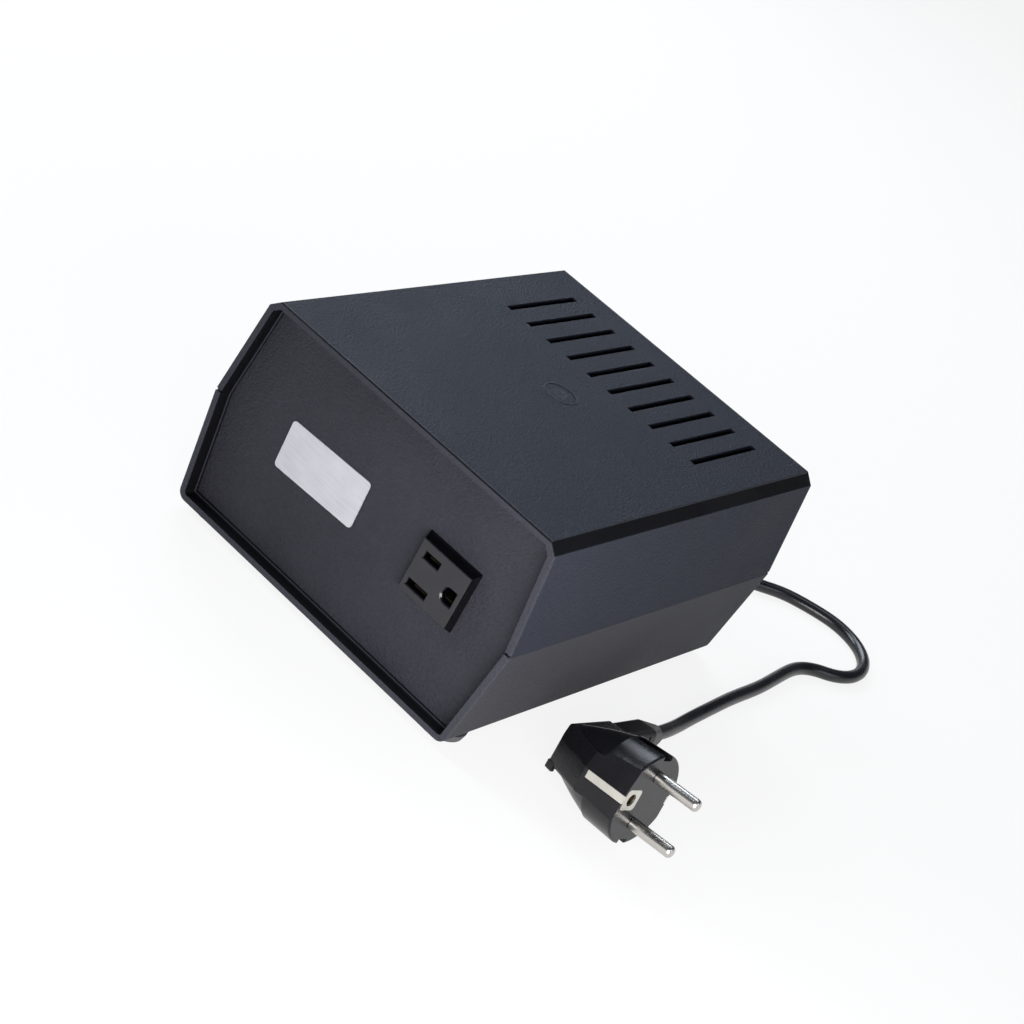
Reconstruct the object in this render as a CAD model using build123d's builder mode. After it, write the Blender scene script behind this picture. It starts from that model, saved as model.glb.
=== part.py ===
from build123d import *
import os
from math import cos, pi, radians, sin, sqrt, tan

# Toroidal autotransformer in a two-shell plastic case, with a side-mounted outlet on its front
# panel and a mains cord with an angled plug. Lengths are millimetres. The front looks along -Y,
# and the origin is on the supporting surface under the middle of the case.

# Case
case_depth = 182.0
case_height = 90.0
foot_height = 3.0
seam_height = 45.0
bottom_width = 142.8
seam_width = 154.0
shoulder_width = 144.6
top_width = 136.2
shoulder_drop = 3.9
bottom_edge_radius = 4.0
shoulder_edge_radius = 0.7
rim_edge_radius = 0.4
wall = 2.5
seam_chamfer_width = 0.35
seam_chamfer_height = 0.5
seam_notch_height = 1.0
seam_notch_depth = 1.2

# Panels, and the ribs in the shells that hold them
panel_recess = 6.0
panel_thickness = 2.5
panel_side_gap = 0.25
panel_slot_gap = 0.1
front_rib_height = 1.2
front_rib_width = 1.5
back_rib_height = 2.5
back_rib_width = 2.0

# Tongue and groove along the seam
tongue_width = 1.0
tongue_height = 1.5
tongue_gap = 0.15
tongue_end_margin = 4.0

# Vents and moulded mark
vent_count = 10
vent_pitch = 11.0
vent_width = 2.8
vent_length = 47.1
vent_rear_gap = 16.15
floor_vent_length = 16.0
floor_vent_front_gap = 17.0
mark_radius = 7.0
mark_line_width = 0.8
mark_height = 0.25
mark_x = 1.5
mark_y = -0.5

# Case screws and their posts
post_side_gap = 11.4
post_end_gap = 30.0
post_radius = 4.6
post_gap = 0.2
screw_seat_height = 24.0
screw_radius = 1.75
screw_gap = 0.15
screw_length = 38.0
screw_head_radius = 3.3
screw_head_height = 2.4
screw_head_gap = 0.4
pilot_depth = 20.0
cross_width = 0.9
cross_length = 4.0
cross_depth = 1.4

# Feet
foot_side_gap = 10.4
rear_foot_side_gap = 15.5
foot_end_gap = 14.0
foot_radius = 10.0
foot_taper = 0.6
foot_stud_radius = 1.9
foot_hole_gap = 0.1
foot_barb_radius = 2.8
foot_barb_height = 1.6

# Label plate
label_width = 40.1
label_height = 19.8
label_thickness = 0.3
label_corner_radius = 1.6
label_x = -24.4
label_z = 48.4
label_turn = 2.3

# Outlet, blades side by side above each other and the earth hole to their right
outlet_x = 37.4
outlet_z = 48.9
outlet_base_width = 25.8
outlet_base_height = 26.2
outlet_face_width = 23.4
outlet_face_height = 21.8
outlet_face_edge = 0.5
outlet_proud = 4.0
outlet_neck_width = 23.0
outlet_neck_height = 23.6
outlet_neck_gap = 0.2
outlet_neck_depth = 21.0
outlet_wing = 1.4
outlet_wing_length = 8.0
pattern_x = 38.45
pattern_z = 48.4
blade_spacing = 12.7
earth_offset = 11.9
slot_width = 2.4
line_slot_length = 7.2
neutral_slot_length = 9.2
slot_left_shift = 0.4
slot_bevel = 0.6
face_wall = 2.2
earth_hole_radius = 2.9
earth_hole_flat = 2.4
contact_room_gap = 0.15
back_wall = 1.2
blade_leaf_gap = 1.5
blade_leaf_thickness = 0.6
blade_leaf_width = 6.0
blade_leaf_length = 14.0
earth_leaf_gap = 4.6
earth_leaf_width = 5.0
tab_thickness = 0.8
tab_width = 4.8
tab_length = 8.0

# Push-on terminals on the outlet's tabs
terminal_wall = 0.7
terminal_length = 9.0
terminal_gap = 0.1

# Cord
cord_diameter = 5.6
cord_radius = cord_diameter / 2
inner_cord_length = 4.0

# Cord bush in the rear panel, with its tapered sleeve and its nut
bush_x = 23.5
bush_z = 20.0
bush_flange_radius = 7.5
bush_flange_height = 2.5
bush_thread_radius = 6.0
bush_hole_gap = 0.1
bush_thread_length = 9.0
bush_sleeve_length = 24.0
bush_sleeve_radius = 5.6
bush_tip_radius = 4.0
bush_nut_width = 16.0
bush_nut_height = 4.0

# Toroid and what clamps it
toroid_y = 4.0
core_outer_radius = 47.0
core_inner_radius = 27.0
core_height = 36.0
insulation_thickness = 1.0
common_winding_thickness = 3.2
series_winding_thickness = 2.4
tape_thickness = 0.8
winding_corner_radius = 3.0
pad_thickness = 2.0
pad_outer_radius = 50.0
pad_inner_radius = 18.6
plate_radius = 44.0
plate_thickness = 2.0
plate_dish = 4.0
plate_seat_radius = 13.0
bolt_radius = 4.0
bolt_hole_gap = 0.3
bolt_head_width = 13.0
bolt_head_height = 5.3
bolt_pocket_gap = 0.5
bolt_pocket_depth = 6.5
bolt_pocket_wall = 3.0
bolt_tail = 5.0
washer_radius = 9.0
washer_thickness = 1.6
nut_width = 13.0
nut_height = 6.5

# Terminal block and thermal cut-out
block_wall_gap = 0.9
block_toroid_gap = 3.8
block_width = 12.0
block_depth = 25.0
block_height = 14.0
block_pitch = 8.0
block_wire_grip = 3.0
block_screw_radius = 1.5
block_screw_length = 6.0
block_screw_sink = 1.0
block_slot_depth = 0.6
block_slot_width = 0.7
cutout_width = 7.0
cutout_depth = 18.0
cutout_height = 10.0
cutout_rise = 14.0
wire_radius = 1.1
wire_spread = 1.35
wire_gap = 1.5
wire_step = 3.5
lead_height = 32.5
lead_run = 3.3
lead_out = 5.0

# Coil of put-away cord, wound as half turns that step in, drop a layer and step out again
coil_x = -16.7
coil_y = 160.7
coil_floor_gap = 0.7
coil_outer_radius = 39.0
coil_turn_gap = 0.7
coil_layer_gap = 0.7
coil_climb_inset = 0.7
half_turns_in = 4
last_arc_angle = 130.0
tie_thickness = 0.6
tie_width = 10.0
tie_inner_slack = 0.9
tie_outer_slack = 0.2
tie_corner_radius = 2.0
tie_height_gap = 0.1

# Angled plug: its face centre, where its pins point, and its own sizes
plug_x = 132.6
plug_y = -53.6
plug_yaw = -3.6
plug_pitch = 8.7
plug_roll = 12.9
disc_radius = 18.3
disc_depth = 14.0
disc_back_radius = 17.6
disc_edge_radius = 0.8
flat_distance = 16.1
bell_step = 0.3
bell_mid_radius = 14.2
bell_mid_depth = 23.0
bell_end_radius = 8.6
bell_end_depth = 35.5
grip_height = 16.8
grip_near_x = -6.3
grip_back_depth = 37.2
grip_slant_depth = 18.5
grip_far_x = 27.6
grip_far_back_depth = 40.6
grip_far_front_depth = 30.6
grip_edge_radius = 1.5
facet_tilt = 13.0
facet_low_edge = 1.8
lip_drop = 1.7
lip_width = 2.0
lip_edge_radius = 0.6
guide_width = 5.6
guide_depth = 2.2
pin_spacing = 19.0
pin_length = 19.0
pin_radius = 2.4
pin_tip_radius = 0.9
pin_root = 10.0
pin_root_radius = 2.0
pin_neck = 0.2
earth_distance = 10.0
earth_bore_radius = 2.45
sleeve_radius = 3.3
sleeve_depth = 15.0
strip_width = 3.0
strip_thickness = 0.8
strip_length = 17.0
far_strip_start = 0.0
far_strip_length = 13.0
channel_gap = 0.2
channel_sink = 0.2
face_plate_length = 9.6
face_plate_height = 8.2
face_plate_corner = 1.6
relief_length = 33.8
relief_tilt = 3.3
relief_lift = 7.7
relief_root_width = 9.6
relief_root_height = 15.2
relief_root_corner = 2.0
relief_mid_way = 24.0
relief_mid_width = 10.8
relief_mid_height = 11.6
relief_mid_corner = 2.2
relief_tip_radius = 3.9
relief_tip_corner = 3.85
relief_slot_count = 4
relief_slot_width = 1.4
relief_slot_depth = 1.1
relief_slot_height = 8.6
relief_slot_start = 4.5

# Heights that follow from the sizes above
base_z = foot_height
floor_z = base_z + wall
seam_z = base_z + seam_height
top_z = base_z + case_height
roof_z = top_z - wall
front_y = -case_depth / 2
rear_y = case_depth / 2
panel_front_y = front_y + panel_recess
panel_back_y = panel_front_y + panel_thickness
rear_panel_outer_y = rear_y - panel_recess
seam_half = seam_width / 2
post_x = bottom_width / 2 - post_side_gap
post_y = case_depth / 2 - post_end_gap
foot_x = bottom_width / 2 - foot_side_gap
rear_foot_x = bottom_width / 2 - rear_foot_side_gap
foot_y = case_depth / 2 - foot_end_gap
foot_places = [
    (-foot_x, -foot_y),
    (foot_x, -foot_y),
    (-rear_foot_x, foot_y),
    (rear_foot_x, foot_y),
]
foot_low_radius = foot_radius - foot_taper
vent_centre_y = rear_y - vent_rear_gap - vent_length / 2
floor_vent_centre_y = front_y + floor_vent_front_gap + floor_vent_length / 2

case_outline = [
    (-bottom_width / 2, base_z),
    (bottom_width / 2, base_z),
    (seam_half, seam_z),
    (shoulder_width / 2, top_z - shoulder_drop),
    (top_width / 2, top_z),
    (-top_width / 2, top_z),
    (-shoulder_width / 2, top_z - shoulder_drop),
    (-seam_half, seam_z),
]


def case_section(inset):
    """The case's outline seen from the front, drawn smaller by inset all round."""
    with BuildSketch() as section:
        with BuildLine():
            Polyline(*case_outline, close=True)
        make_face()
        low = section.vertices().group_by(Axis.Y)[0]
        high = section.vertices().group_by(Axis.Y)[-2:]
        fillet(low, bottom_edge_radius)
        fillet([v for group in high for v in group], shoulder_edge_radius)
        if inset > 0:
            offset(amount=-inset)
    return section.sketch


def front_plane(y):
    """A plane across the case at y, whose normal looks to the front."""
    return Plane.XZ.offset(-y)


# Hollow body of both shells, with the ribs that hold the two panels
with BuildPart() as case_body:
    with BuildSketch(front_plane(rear_y)):
        add(case_section(0))
        add(case_section(wall), mode=Mode.SUBTRACT)
    extrude(amount=case_depth)
    rim_faces = case_body.faces().sort_by(Axis.Y)
    rim_edges = rim_faces[0].outer_wire().edges() + rim_faces[-1].outer_wire().edges()
    fillet(rim_edges, rim_edge_radius)
    front_rib_end = panel_front_y - panel_slot_gap
    back_rib_start = panel_back_y + panel_slot_gap
    for side in (1, -1):
        near_y = side * front_rib_end
        near_far_y = side * (front_rib_end - front_rib_width)
        with BuildSketch(front_plane(max(near_y, near_far_y))):
            add(case_section(wall))
            add(case_section(wall + front_rib_height), mode=Mode.SUBTRACT)
        extrude(amount=front_rib_width)
        with BuildSketch(front_plane(max(side * back_rib_start, side * (back_rib_start + back_rib_width)))):
            add(case_section(wall))
            add(case_section(wall + back_rib_height), mode=Mode.SUBTRACT)
        extrude(amount=back_rib_width)

tongue_outer = seam_half - wall + 1.2
tongue_points = [
    (tongue_outer - tongue_width, seam_z - 0.6),
    (tongue_outer, seam_z - 0.6),
    (tongue_outer, seam_z + tongue_height),
    (tongue_outer - tongue_width, seam_z + tongue_height),
]
tongue_length = case_depth - 2 * (panel_recess + panel_thickness + back_rib_width + tongue_end_margin)
pocket_top_z = base_z + bolt_pocket_depth

# Lower shell: half of the body, with posts for the screws, holes for the feet and air slots
with BuildPart() as lower_shell:
    add(case_body.part)
    split(bisect_by=Plane.XY.offset(seam_z), keep=Keep.BOTTOM)
    with BuildSketch(front_plane(tongue_length / 2)):
        with BuildLine():
            Polyline(*tongue_points, close=True)
        make_face()
        mirror(about=Plane.YZ)
    extrude(amount=tongue_length)
    with BuildSketch(front_plane(rear_y)):
        with BuildLine():
            Polyline(
                (seam_half + 1, seam_z + 1),
                (seam_half - seam_chamfer_width, seam_z + 1),
                (seam_half - seam_chamfer_width, seam_z),
                (seam_half, seam_z - seam_chamfer_height),
                (seam_half + 1, seam_z - seam_chamfer_height),
                close=True,
            )
        make_face()
        mirror(about=Plane.YZ)
    extrude(amount=case_depth, mode=Mode.SUBTRACT)
    with BuildSketch(Plane.XY.offset(floor_z - 0.2)):
        with GridLocations(2 * post_x, 2 * post_y, 2, 2):
            Circle(post_radius)
    extrude(amount=seam_z - floor_z + 0.2)
    with BuildSketch(Plane.XY.offset(base_z)):
        with GridLocations(2 * post_x, 2 * post_y, 2, 2):
            Circle(screw_radius + screw_gap)
    extrude(amount=seam_height, mode=Mode.SUBTRACT)
    with BuildSketch(Plane.XY.offset(base_z)):
        with GridLocations(2 * post_x, 2 * post_y, 2, 2):
            Circle(screw_head_radius + screw_head_gap)
    extrude(amount=screw_seat_height - base_z, mode=Mode.SUBTRACT)
    with BuildSketch(Plane.XY.offset(base_z)):
        with Locations(*foot_places):
            Circle(foot_stud_radius + foot_hole_gap)
        with Locations((0, floor_vent_centre_y)):
            with GridLocations(vent_pitch, 0, vent_count - 2, 1):
                Rectangle(vent_width, floor_vent_length)
    extrude(amount=wall, mode=Mode.SUBTRACT)
    with BuildSketch(Plane.XY.offset(floor_z - 0.2)):
        with Locations((0, toroid_y)):
            Circle(bolt_head_width / sqrt(3) + bolt_pocket_gap + bolt_pocket_wall)
    extrude(amount=pocket_top_z + bolt_pocket_wall - floor_z + 0.2)
    with BuildSketch(Plane.XY.offset(base_z)):
        with Locations((0, toroid_y)):
            RegularPolygon(bolt_head_width / 2 + bolt_pocket_gap, 6, major_radius=False)
    extrude(amount=bolt_pocket_depth, mode=Mode.SUBTRACT)
    with BuildSketch(Plane.XY.offset(base_z)):
        with Locations((0, toroid_y)):
            Circle(bolt_radius + bolt_hole_gap)
    extrude(amount=bolt_pocket_depth + bolt_pocket_wall, mode=Mode.SUBTRACT)
lower_shell.part.label = "lower_shell"

# Upper shell: the other half, with the long air slots, the moulded ring mark and its posts
with BuildPart() as upper_shell:
    add(case_body.part)
    split(bisect_by=Plane.XY.offset(seam_z), keep=Keep.TOP)
    with BuildSketch(Plane.XY.offset(seam_z)):
        with GridLocations(2 * seam_half, case_depth, 2, 2):
            Rectangle(4 * wall, 2 * seam_notch_depth)
    extrude(amount=seam_notch_height, mode=Mode.SUBTRACT)
    with BuildSketch(front_plane(tongue_length / 2 + tongue_gap)):
        with BuildLine():
            Polyline(
                (seam_half - wall - 2, seam_z - 1),
                (tongue_outer + tongue_gap, seam_z - 1),
                (tongue_outer + tongue_gap, seam_z + tongue_height + tongue_gap),
                (seam_half - wall - 2, seam_z + tongue_height + tongue_gap),
                close=True,
            )
        make_face()
        mirror(about=Plane.YZ)
    extrude(amount=tongue_length + 2 * tongue_gap, mode=Mode.SUBTRACT)
    with BuildSketch(Plane.XY.offset(seam_z + post_gap)):
        with GridLocations(2 * post_x, 2 * post_y, 2, 2):
            Circle(post_radius)
    extrude(amount=roof_z - seam_z - post_gap + 0.2)
    with BuildSketch(Plane.XY.offset(seam_z)):
        with GridLocations(2 * post_x, 2 * post_y, 2, 2):
            Circle(screw_radius)
    extrude(amount=pilot_depth, mode=Mode.SUBTRACT)
    with BuildSketch(Plane.XY.offset(roof_z - 1)):
        with Locations((0, vent_centre_y)):
            with GridLocations(vent_pitch, 0, vent_count, 1):
                Rectangle(vent_width, vent_length)
    extrude(amount=wall + 2, mode=Mode.SUBTRACT)
    with BuildSketch(Plane.XY.offset(top_z - 0.1)):
        with Locations((mark_x, mark_y)):
            Circle(mark_radius)
            Circle(mark_radius - mark_line_width, mode=Mode.SUBTRACT)
    extrude(amount=mark_height + 0.1)
upper_shell.part.label = "upper_shell"

# Front panel, with the opening that the outlet snaps into
with BuildPart() as front_panel:
    with BuildSketch(front_plane(panel_back_y)):
        add(case_section(wall + panel_side_gap))
        with Locations((outlet_x, outlet_z)):
            Rectangle(
                outlet_neck_width + 2 * outlet_neck_gap,
                outlet_neck_height + 2 * outlet_neck_gap,
                mode=Mode.SUBTRACT,
            )
    extrude(amount=panel_thickness)
front_panel.part.label = "front_panel"

# Rear panel, with the hole for the cord bush
with BuildPart() as rear_panel:
    with BuildSketch(front_plane(rear_panel_outer_y)):
        add(case_section(wall + panel_side_gap))
        with Locations((bush_x, bush_z)):
            Circle(bush_thread_radius + bush_hole_gap, mode=Mode.SUBTRACT)
    extrude(amount=panel_thickness)
rear_panel.part.label = "rear_panel"

# Rubber feet, pushed into the floor with a barb above it
with BuildPart() as feet:
    barb_z = floor_z + 0.1
    with BuildSketch(Plane.XZ):
        with BuildLine():
            Polyline(
                (0, 0),
                (foot_low_radius, 0),
                (foot_radius, foot_height - 0.6),
                (foot_radius, foot_height),
                (foot_stud_radius, foot_height),
                (foot_stud_radius, barb_z),
                (foot_barb_radius, barb_z),
                (foot_stud_radius, barb_z + foot_barb_height),
                (0, barb_z + foot_barb_height),
                close=True,
            )
        make_face()
    one_foot = revolve(axis=Axis.Z, mode=Mode.PRIVATE)
    with Locations(*foot_places):
        add(one_foot)
feet.part.label = "feet"

# Case screws, driven from below up through the lower posts into the upper ones
with BuildPart() as case_screws:
    with BuildSketch(Plane.XY.offset(screw_seat_height - screw_head_height)):
        with GridLocations(2 * post_x, 2 * post_y, 2, 2):
            Circle(screw_head_radius)
    extrude(amount=screw_head_height)
    with BuildSketch(Plane.XY.offset(screw_seat_height)):
        with GridLocations(2 * post_x, 2 * post_y, 2, 2):
            Circle(screw_radius - screw_gap)
    extrude(amount=screw_length)
    with BuildSketch(Plane.XY.offset(screw_seat_height - screw_head_height)):
        with GridLocations(2 * post_x, 2 * post_y, 2, 2):
            Rectangle(cross_length, cross_width)
            Rectangle(cross_width, cross_length)
    extrude(amount=cross_depth, mode=Mode.SUBTRACT)
case_screws.part.label = "case_screws"

# Thin bare plate in the place of the rating label, turned a little as it was stuck on
with BuildPart() as label_plate:
    with BuildSketch(front_plane(panel_front_y)):
        with Locations(Location((label_x, label_z), label_turn)):
            RectangleRounded(label_width, label_height, label_corner_radius)
    extrude(amount=label_thickness)
label_plate.part.label = "label_plate"

# Outlet body: tapered block in front of the panel, and a neck with snap wings behind it
outlet_face_y = panel_front_y - outlet_proud
neck_end_y = panel_front_y + outlet_neck_depth
blade_x = pattern_x - earth_offset / 2
earth_x = pattern_x + earth_offset / 2
line_z = pattern_z + blade_spacing / 2
neutral_z = pattern_z - blade_spacing / 2
room_start_y = outlet_face_y + face_wall
blade_room_height = blade_leaf_gap + 2 * blade_leaf_thickness + 2 * contact_room_gap
blade_room_width = blade_leaf_width + 2 * contact_room_gap
earth_room_height = earth_leaf_gap + 2 * blade_leaf_thickness + 2 * contact_room_gap
earth_room_width = earth_leaf_width + 2 * contact_room_gap
room_end_y = neck_end_y - back_wall
with BuildPart() as outlet_body:
    with BuildSketch(front_plane(panel_front_y)):
        with Locations((outlet_x, outlet_z)):
            Rectangle(outlet_base_width, outlet_base_height)
    with BuildSketch(front_plane(outlet_face_y)):
        with Locations((outlet_x, outlet_z)):
            Rectangle(outlet_face_width, outlet_face_height)
    loft()
    fillet(outlet_body.edges().group_by(Axis.Y)[0], outlet_face_edge)
    with BuildSketch(front_plane(neck_end_y)):
        with Locations((outlet_x, outlet_z)):
            Rectangle(outlet_neck_width, outlet_neck_height)
    extrude(amount=outlet_neck_depth + 0.2)
    with BuildSketch(Plane.XY.offset(outlet_z - outlet_neck_height / 4)):
        for side in (-1, 1):
            edge_x = outlet_x + side * (outlet_neck_width / 2 - 0.3)
            wing_x = outlet_x + side * (outlet_neck_width / 2 + outlet_wing)
            wing_y = panel_back_y + panel_slot_gap
            with BuildLine():
                Polyline(
                    (edge_x, wing_y),
                    (wing_x, wing_y),
                    (edge_x, wing_y + outlet_wing_length),
                    close=True,
                )
            make_face()
    extrude(amount=outlet_neck_height / 2)
    with BuildSketch(front_plane(neck_end_y)):
        with Locations((blade_x - slot_left_shift, line_z)):
            Rectangle(line_slot_length, slot_width)
        with Locations((blade_x - slot_left_shift, neutral_z)):
            Rectangle(neutral_slot_length, slot_width)
    extrude(amount=outlet_neck_depth + outlet_proud, mode=Mode.SUBTRACT)
    with BuildSketch(front_plane(neck_end_y)):
        with Locations((earth_x, pattern_z)):
            Circle(earth_hole_radius)
        with Locations((earth_x + earth_hole_flat / 2, pattern_z)):
            Rectangle(earth_hole_flat, 2 * earth_hole_radius)
        with Locations((earth_x + earth_hole_flat + earth_hole_radius, pattern_z)):
            Rectangle(2 * earth_hole_radius, 3 * earth_hole_radius, mode=Mode.SUBTRACT)
    extrude(amount=outlet_neck_depth + outlet_proud, mode=Mode.SUBTRACT)
    mouth_edges = (
        outlet_body.faces().sort_by(Axis.Y)[0].inner_wires().edges()
    )
    chamfer(mouth_edges, slot_bevel)
    with BuildSketch(front_plane(room_end_y)):
        with Locations((blade_x, line_z), (blade_x, neutral_z)):
            Rectangle(blade_room_width, blade_room_height)
        with Locations((earth_x, pattern_z)):
            Rectangle(earth_room_width, earth_room_height)
    extrude(amount=room_end_y - room_start_y, mode=Mode.SUBTRACT)
    with BuildSketch(front_plane(neck_end_y + 1)):
        with Locations((blade_x, line_z), (blade_x, neutral_z), (earth_x, pattern_z)):
            Rectangle(blade_room_width, blade_room_height)
    extrude(amount=back_wall + 2, mode=Mode.SUBTRACT)
outlet_body.part.label = "outlet_body"


def clip_contact(x, z, leaf_gap, leaf_width):
    """A folded contact clip: two leaves that grip a blade or pin, and a tab out of the back."""
    leaf_start = room_start_y + contact_room_gap + 1.0
    leaf_end = leaf_start + blade_leaf_length
    outer_half = leaf_gap / 2 + blade_leaf_thickness
    with BuildPart() as clip:
        with BuildSketch(Plane.YZ.offset(x - leaf_width / 2)):
            with BuildLine():
                Polyline(
                    (leaf_start, z + leaf_gap / 2),
                    (leaf_end, z + leaf_gap / 2),
                    (leaf_end, z - leaf_gap / 2),
                    (leaf_start, z - leaf_gap / 2),
                    (leaf_start, z - outer_half),
                    (leaf_end + blade_leaf_thickness, z - outer_half),
                    (leaf_end + blade_leaf_thickness, z + outer_half),
                    (leaf_start, z + outer_half),
                    close=True,
                )
            make_face()
        extrude(amount=leaf_width)
        with BuildSketch(front_plane(neck_end_y + tab_length)):
            with Locations((x, z)):
                Rectangle(tab_width, tab_thickness)
        extrude(amount=neck_end_y + tab_length - leaf_end)
    return clip.part


# Sprung contacts of the outlet
with BuildPart() as outlet_line_contact:
    add(clip_contact(blade_x, line_z, blade_leaf_gap, blade_leaf_width))
outlet_line_contact.part.label = "outlet_line_contact"

with BuildPart() as outlet_neutral_contact:
    add(clip_contact(blade_x, neutral_z, blade_leaf_gap, blade_leaf_width))
outlet_neutral_contact.part.label = "outlet_neutral_contact"

with BuildPart() as outlet_earth_contact:
    add(clip_contact(earth_x, pattern_z, earth_leaf_gap, earth_leaf_width))
outlet_earth_contact.part.label = "outlet_earth_contact"

# Push-on terminals that carry the inner wires to the outlet's tabs
tab_places = [(blade_x, line_z), (blade_x, neutral_z), (earth_x, pattern_z)]
terminal_start_y = neck_end_y + 1.0
with BuildPart() as push_on_terminals:
    with BuildSketch(front_plane(terminal_start_y + terminal_length)):
        with Locations(*tab_places):
            Rectangle(
                tab_width + 2 * (terminal_wall + terminal_gap),
                tab_thickness + 2 * (terminal_wall + terminal_gap),
            )
    extrude(amount=terminal_length)
    with BuildSketch(front_plane(neck_end_y + tab_length)):
        with Locations(*tab_places):
            Rectangle(tab_width + 2 * terminal_gap, tab_thickness + 2 * terminal_gap)
    extrude(amount=tab_length, mode=Mode.SUBTRACT)
push_on_terminals.part.label = "push_on_terminals"

# Cord bush: flange outside the rear panel, threaded neck through it, tapered sleeve outside
bush_flange_y = rear_panel_outer_y
bush_sleeve_y = bush_flange_y + bush_flange_height
bush_tip_y = bush_sleeve_y + bush_sleeve_length
bush_inner_y = rear_panel_outer_y - bush_thread_length
with BuildPart() as cord_bush:
    with BuildSketch(Plane((bush_x, 0, bush_z), x_dir=(0, 1, 0), z_dir=(1, 0, 0))):
        with BuildLine():
            Polyline(
                (bush_inner_y, cord_radius),
                (bush_inner_y, bush_thread_radius),
                (bush_flange_y, bush_thread_radius),
                (bush_flange_y, bush_flange_radius),
                (bush_sleeve_y - 0.8, bush_flange_radius),
                (bush_sleeve_y, bush_flange_radius - 0.8),
                (bush_sleeve_y, bush_sleeve_radius),
                (bush_tip_y, bush_tip_radius),
                (bush_tip_y, cord_radius),
                close=True,
            )
        make_face()
    revolve(axis=Axis((bush_x, 0, bush_z), (0, 1, 0)))
cord_bush.part.label = "cord_bush"

# Hexagonal nut that holds the bush from inside
with BuildPart() as bush_nut:
    with BuildSketch(front_plane(rear_panel_outer_y - panel_thickness)):
        with Locations((bush_x, bush_z)):
            RegularPolygon(bush_nut_width / 2, 6, major_radius=False)
            Circle(bush_thread_radius, mode=Mode.SUBTRACT)
    extrude(amount=bush_nut_height)
bush_nut.part.label = "bush_nut"

# Cord inside the bush and the case, up to where its sheath is stripped
inner_cord_end_y = bush_inner_y - inner_cord_length
with BuildPart() as inner_cord:
    with BuildSketch(front_plane(bush_tip_y)):
        with Locations((bush_x, bush_z)):
            Circle(cord_radius)
    extrude(amount=bush_tip_y - inner_cord_end_y)
inner_cord.part.label = "inner_cord"


# Ring core and the layers wound on it, from the inside out
layer_total = insulation_thickness + common_winding_thickness + series_winding_thickness + tape_thickness
toroid_low_z = floor_z + pad_thickness
core_low_z = toroid_low_z + layer_total
toroid_high_z = core_low_z + core_height + layer_total
toroid_outer_radius = core_outer_radius + layer_total
ring_plane = Plane(origin=(0, toroid_y, 0), x_dir=(1, 0, 0), z_dir=(0, -1, 0))
ring_axis = Axis((0, toroid_y, 0), (0, 0, 1))
common_start = insulation_thickness
series_start = common_start + common_winding_thickness
tape_start = series_start + series_winding_thickness


def ring_section(growth):
    """Section of the ring core, grown outward by growth all round."""
    with BuildSketch() as section:
        with Locations(((core_inner_radius + core_outer_radius) / 2, core_low_z + core_height / 2)):
            RectangleRounded(
                core_outer_radius - core_inner_radius + 2 * growth,
                core_height + 2 * growth,
                winding_corner_radius + growth,
            )
    return section.sketch


with BuildPart() as toroid_core:
    with BuildSketch(ring_plane):
        add(ring_section(0))
    revolve(axis=ring_axis)
toroid_core.part.label = "toroid_core"

with BuildPart() as core_insulation:
    with BuildSketch(ring_plane):
        add(ring_section(common_start))
        add(ring_section(0), mode=Mode.SUBTRACT)
    revolve(axis=ring_axis)
core_insulation.part.label = "core_insulation"

with BuildPart() as common_winding:
    with BuildSketch(ring_plane):
        add(ring_section(series_start))
        add(ring_section(common_start), mode=Mode.SUBTRACT)
    revolve(axis=ring_axis)
common_winding.part.label = "common_winding"

with BuildPart() as series_winding:
    with BuildSketch(ring_plane):
        add(ring_section(tape_start))
        add(ring_section(series_start), mode=Mode.SUBTRACT)
    revolve(axis=ring_axis)
series_winding.part.label = "series_winding"

with BuildPart() as outer_tape:
    with BuildSketch(ring_plane):
        add(ring_section(layer_total))
        add(ring_section(tape_start), mode=Mode.SUBTRACT)
    revolve(axis=ring_axis)
outer_tape.part.label = "outer_tape"

# Rubber pads below and above the toroid
with BuildPart() as lower_pad:
    with BuildSketch(Plane.XY.offset(floor_z)):
        with Locations((0, toroid_y)):
            Circle(pad_outer_radius)
            Circle(pad_inner_radius, mode=Mode.SUBTRACT)
    extrude(amount=pad_thickness)
lower_pad.part.label = "lower_pad"

with BuildPart() as upper_pad:
    with BuildSketch(Plane.XY.offset(toroid_high_z)):
        with Locations((0, toroid_y)):
            Circle(pad_outer_radius)
            Circle(pad_inner_radius, mode=Mode.SUBTRACT)
    extrude(amount=pad_thickness)
upper_pad.part.label = "upper_pad"

# Dished steel plate over the upper pad
plate_low_z = toroid_high_z + pad_thickness
plate_seat_z = plate_low_z + plate_thickness - plate_dish
with BuildPart() as clamp_plate:
    with BuildSketch(Plane.XZ):
        with BuildLine():
            Polyline(
                (bolt_radius + bolt_hole_gap, plate_seat_z),
                (plate_seat_radius, plate_seat_z),
                (plate_seat_radius + plate_dish, plate_low_z + plate_thickness),
                (plate_radius, plate_low_z + plate_thickness),
                (plate_radius, plate_low_z),
                (plate_seat_radius + plate_dish + 1, plate_low_z),
                (plate_seat_radius + 1, plate_seat_z - plate_thickness),
                (bolt_radius + bolt_hole_gap, plate_seat_z - plate_thickness),
                close=True,
            )
        make_face()
    plate = revolve(axis=Axis.Z, mode=Mode.PRIVATE)
    with Locations((0, toroid_y, 0)):
        add(plate)
clamp_plate.part.label = "clamp_plate"

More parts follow.
